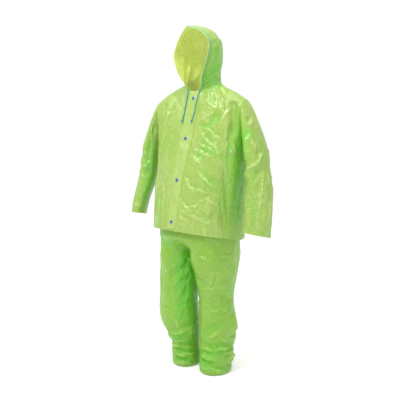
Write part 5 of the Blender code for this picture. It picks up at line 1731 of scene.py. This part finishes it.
@dataclass
class Snap:
    """A round snap head: a flange, a stepped cap and a dished centre."""

    number: int
    height: float
    sides: int = 48
    # Each ring: radius, height and how much painted shade it gets, most at the flange and in the dish.
    profile: tuple[Triple, ...] = (
        (0.00785, 0.0000, 1.0), (0.00785, 0.0007, 1.0), (0.0075, 0.0010, 1.0), (0.0068, 0.0011, 1.0),
        (0.0066, 0.0016, 0.8), (0.0064, 0.0023, 0.3), (0.0059, 0.0028, 0.0), (0.0050, 0.0031, 0.0),
        (0.0040, 0.0031, 0.0), (0.0033, 0.0028, 0.2), (0.0025, 0.0025, 0.5), (0.0012, 0.0024, 0.1),
        (0.0002, 0.0024, 0.0))

    def build(self, column: Array, facing: Array, material: bpy.types.Material) -> bpy.types.Object:
        """Turn the profile and set it on the placket's centre line.

        Args:
            column: the points down the placket's centre line.
            facing: their normals.
            material: its finish.

        Returns:
            The snap.
        """
        heights = column[:, 2] + HOLD_HEIGHT
        point = np.array([np.interp(self.height, heights, column[:, axis]) for axis in range(3)])
        normal = unit(np.array([np.interp(self.height, heights, facing[:, axis]) for axis in range(3)]))
        across = unit(np.cross((0.0, 0.0, 1.0), normal))
        up = np.cross(normal, across)
        radius, tall, rim = np.array(self.profile).T[:, :, None]
        turn = np.arange(self.sides) * 2 * math.pi / self.sides
        flat = radius[..., None] * (np.cos(turn)[:, None] * across + np.sin(turn)[:, None] * up)
        points = point + flat + (tall[..., None] + LAYER_GAP) * normal
        rows = len(self.profile)
        index = np.arange(rows * self.sides).reshape(rows, self.sides)
        ahead = np.roll(index, -1, axis=1)
        quads = np.stack([index[:-1], ahead[:-1], ahead[1:], index[1:]], axis=-1).reshape(-1, 4)
        made = mesh_object(f"snap_{self.number}_head", points.reshape(-1, 3), quads, material)
        add_mark(made.data, "rim", np.repeat(rim.ravel(), self.sides))
        return keep(made, Slot.SNAP, f"snap_{self.number}")


TUBE_SIDE = (0.93, 0.21, 0.30)


def tube(path: Array, radius: float, sides: int, closed: bool = False) -> tuple[Array, Array, Array]:
    """A round tube along a path.

    Each point's ring lies square to the path: radius times (cos a, sin a) in two directions that
    turn with the path.

    Args:
        path: its centre line.
        radius: its radius.
        sides: points a ring.
        closed: True where the path ends where it starts.

    Returns:
        The points, the faces and a flat map in metres.
    """
    ahead = np.roll(path, -1, 0) - np.roll(path, 1, 0) if closed else np.gradient(path, axis=0)
    along = unit(ahead)
    across = unit(np.cross(along, TUBE_SIDE))
    upward = np.cross(along, across)
    turn = np.arange(sides) * 2 * math.pi / sides
    ring = (across[:, None] * np.cos(turn)[None, :, None] + upward[:, None] * np.sin(turn)[None, :, None])
    points = path[:, None] + radius * ring
    index = np.arange(len(path) * sides).reshape(len(path), sides)
    ahead = np.roll(index, -1, axis=1)
    low, high = (index, np.roll(index, -1, axis=0)) if closed else (index[:-1], index[1:])
    low_ahead, high_ahead = (ahead, np.roll(ahead, -1, axis=0)) if closed else (ahead[:-1], ahead[1:])
    quads = np.stack([low, low_ahead, high_ahead, high], axis=-1).reshape(-1, 4)
    run = np.concatenate([[0], np.cumsum(np.linalg.norm(np.diff(path, axis=0), axis=1))])
    places = np.stack(np.broadcast_arrays(turn[None] * radius, run[:, None]), axis=-1)
    return points.reshape(-1, 3), quads, places.reshape(-1, 2)


@dataclass
class Drawcord:
    """One free end of the hood's drawcord, tied off in a knot."""

    side: str
    route: list[Triple]
    diameter: float = 0.0040
    spacing: float = 0.002
    sides: int = 16
    knot_radius: float = 0.0026
    knot_half_tall: float = 0.0036
    knot_cord: float = 0.0017
    tail: float = 0.007
    knot_steps: int = 120
    knot_sides: int = 12
    tail_steps: int = 8

    def path(self) -> Array:
        """Points along a smooth curve through the route's own points."""
        route = np.array(self.route) - (0.0, 0.0, HOLD_HEIGHT)
        run = np.concatenate([[0.0], np.cumsum(np.linalg.norm(np.diff(route, axis=0), axis=1))])
        stops = [CordStop(*row) for row in np.column_stack([run, route])]
        count = int(round(run[-1] / self.spacing)) + 1
        read = read_table(stops, "run", np.linspace(0.0, run[-1], count))
        return np.column_stack([read.x, read.y, read.z])

    def build(self, material: bpy.types.Material) -> bpy.types.Object:
        """Args:
            material: their finish.

        Returns:
            The cord.
        """
        path = self.path()
        points, quads, places = tube(path, self.diameter / 2, self.sides)
        cord = mesh_object(f"drawcord_{self.side}_braid", points, quads, material)
        add_map(cord.data, places)
        keep(cord, Slot.CORD, f"drawcord_{self.side}")
        knot = self.knot(path, material)
        return cord

    def knot(self, path: Array, material: bpy.types.Material) -> bpy.types.Object:
        """Make the knot: a trefoil, (sin t + 2 sin 2t, cos t − 2 cos 2t, −sin 3t), and a short tail.

        Args:
            path: the cord's centre line, whose end the knot is on.
            material: its finish.

        Returns:
            The knot.
        """
        along = unit(path[-1] - path[-2])
        across = unit(np.cross(along, (1.0, 0.0, 0.0)))
        third = np.cross(along, across)
        t = np.linspace(0, 2 * math.pi, self.knot_steps, endpoint=False)[:, None]
        middle = path[-1] + along * (self.knot_half_tall + self.knot_cord)
        loop = (middle + self.knot_radius / 3 * ((np.sin(t) + 2 * np.sin(2 * t)) * across
                                                 + (np.cos(t) - 2 * np.cos(2 * t)) * third)
                - self.knot_half_tall * np.sin(3 * t) * along)
        pieces = [tube(loop, self.knot_cord, self.knot_sides, closed=True)]
        run = np.linspace(0, self.tail, self.tail_steps)[:, None]
        foot = middle + along * self.knot_half_tall
        pieces.append(tube(foot + run * along, self.knot_cord, self.knot_sides))
        points = np.concatenate([piece[0] for piece in pieces])
        quads = np.concatenate([pieces[0][1], pieces[1][1] + len(pieces[0][0])])
        places = np.concatenate([piece[2] for piece in pieces])
        made = mesh_object(f"knot_{self.side}_braid", points, quads, material)
        add_map(made.data, places)
        return keep(made, Slot.CORD, f"knot_{self.side}")


@dataclass
class Studio:
    """The floor, the soft lights and the camera."""

    floor_height: float = -HOLD_HEIGHT
    floor_half: float = 40.0
    azimuth: float = math.radians(39.0)
    pitch: float = math.radians(8.8)
    distance: float = 2.75
    camera_height: float = 1.30
    lens_mm: float = 50.04
    shift: float = -0.005
    sky: float = 1.03
    aim: Triple = (0.0, 0.0, -0.4)

    def floor(self) -> None:
        """A wide plain floor."""
        half = self.floor_half
        points = np.array([(-half, -half, 0), (half, -half, 0), (half, half, 0), (-half, half, 0)], float)
        points[:, 2] = self.floor_height
        made = mesh_object("floor", points, np.array([[0, 1, 2, 3]]), PaleFloor().material())

    def light(self, name: str, place: Triple, size: float, power: float) -> None:
        """A square soft light that faces the suit's middle."""
        data = bpy.data.lights.new(name, "AREA")
        data.shape = "SQUARE"
        data.size = size
        data.energy = power
        made = bpy.data.objects.new(name, data)
        made.location = place
        aim = Vector(self.aim) - Vector(place)
        made.rotation_euler = aim.to_track_quat("-Z", "Y").to_euler()
        bpy.context.scene.collection.objects.link(made)

    def camera(self) -> None:
        """The camera at the photograph's viewing angle."""
        data = bpy.data.cameras.new("camera")
        data.lens = self.lens_mm
        data.sensor_width = 36.0
        data.shift_x = self.shift
        made = bpy.data.objects.new("camera", data)
        made.location = (self.distance * math.sin(self.azimuth), -self.distance * math.cos(self.azimuth),
                         self.camera_height - HOLD_HEIGHT)
        made.rotation_euler = (math.pi / 2 - self.pitch, 0.0, self.azimuth)
        bpy.context.scene.collection.objects.link(made)
        bpy.context.scene.camera = made

    def build(self) -> None:
        """Set up everything around the suit."""
        self.floor()
        self.light("key", (-0.4, -2.4, 2.6), 1.0, 115.0)
        self.light("top", (0.6, -0.2, 2.8), 1.8, 40.0)
        self.light("fill", (3.0, -1.4, 0.4), 2.0, 14.0)
        self.camera()
        world = bpy.data.worlds.new("studio")
        world.use_nodes = True
        world.node_tree.nodes["Background"].inputs["Color"].default_value = (1.0, 1.0, 1.0, 1.0)
        world.node_tree.nodes["Background"].inputs["Strength"].default_value = self.sky
        bpy.context.scene.world = world
        bpy.context.scene.view_settings.view_transform = "Standard"


SNAP_HEIGHTS = (1.374, 1.184, 0.989, 0.792)
TROUSER_HEM = 0.012


def main() -> None:
    """Load the frame and build the suit's looks around it."""
    logging.basicConfig(level=logging.INFO)
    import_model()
    Studio().build()
    braid = BraidedCord().material()
    Drawcord("left", LEFT_CORD).build(braid)
    Drawcord("right", RIGHT_CORD).build(braid)

    jacket_film = JACKET_FILM.material()
    jacket = Cloth(Crumpling(JACKET_FOLDS, JACKET_CREASES, JACKET_PATCHES), JacketForm().grids(), Slot.JACKET)
    jacket.shape()
    jacket.build(jacket_film)
    column, facing = Placket(jacket).build(jacket_film)
    for side in ("left", "right"):
        HoodCasing(jacket, side).build(jacket_film)
    plastic = SnapPlastic().material()
    for number, height in enumerate(SNAP_HEIGHTS, start=1):
        Snap(number, height).build(column, facing, plastic)

    trousers = Cloth(Crumpling(TROUSER_FOLDS, TROUSER_CREASES, TROUSER_PATCHES), TrouserForm().grids(),
                     Slot.TROUSERS, hem_tall=TROUSER_HEM)
    trousers.shape()
    trousers.build(TROUSER_FILM.material())


if __name__ == "__main__":
    main()
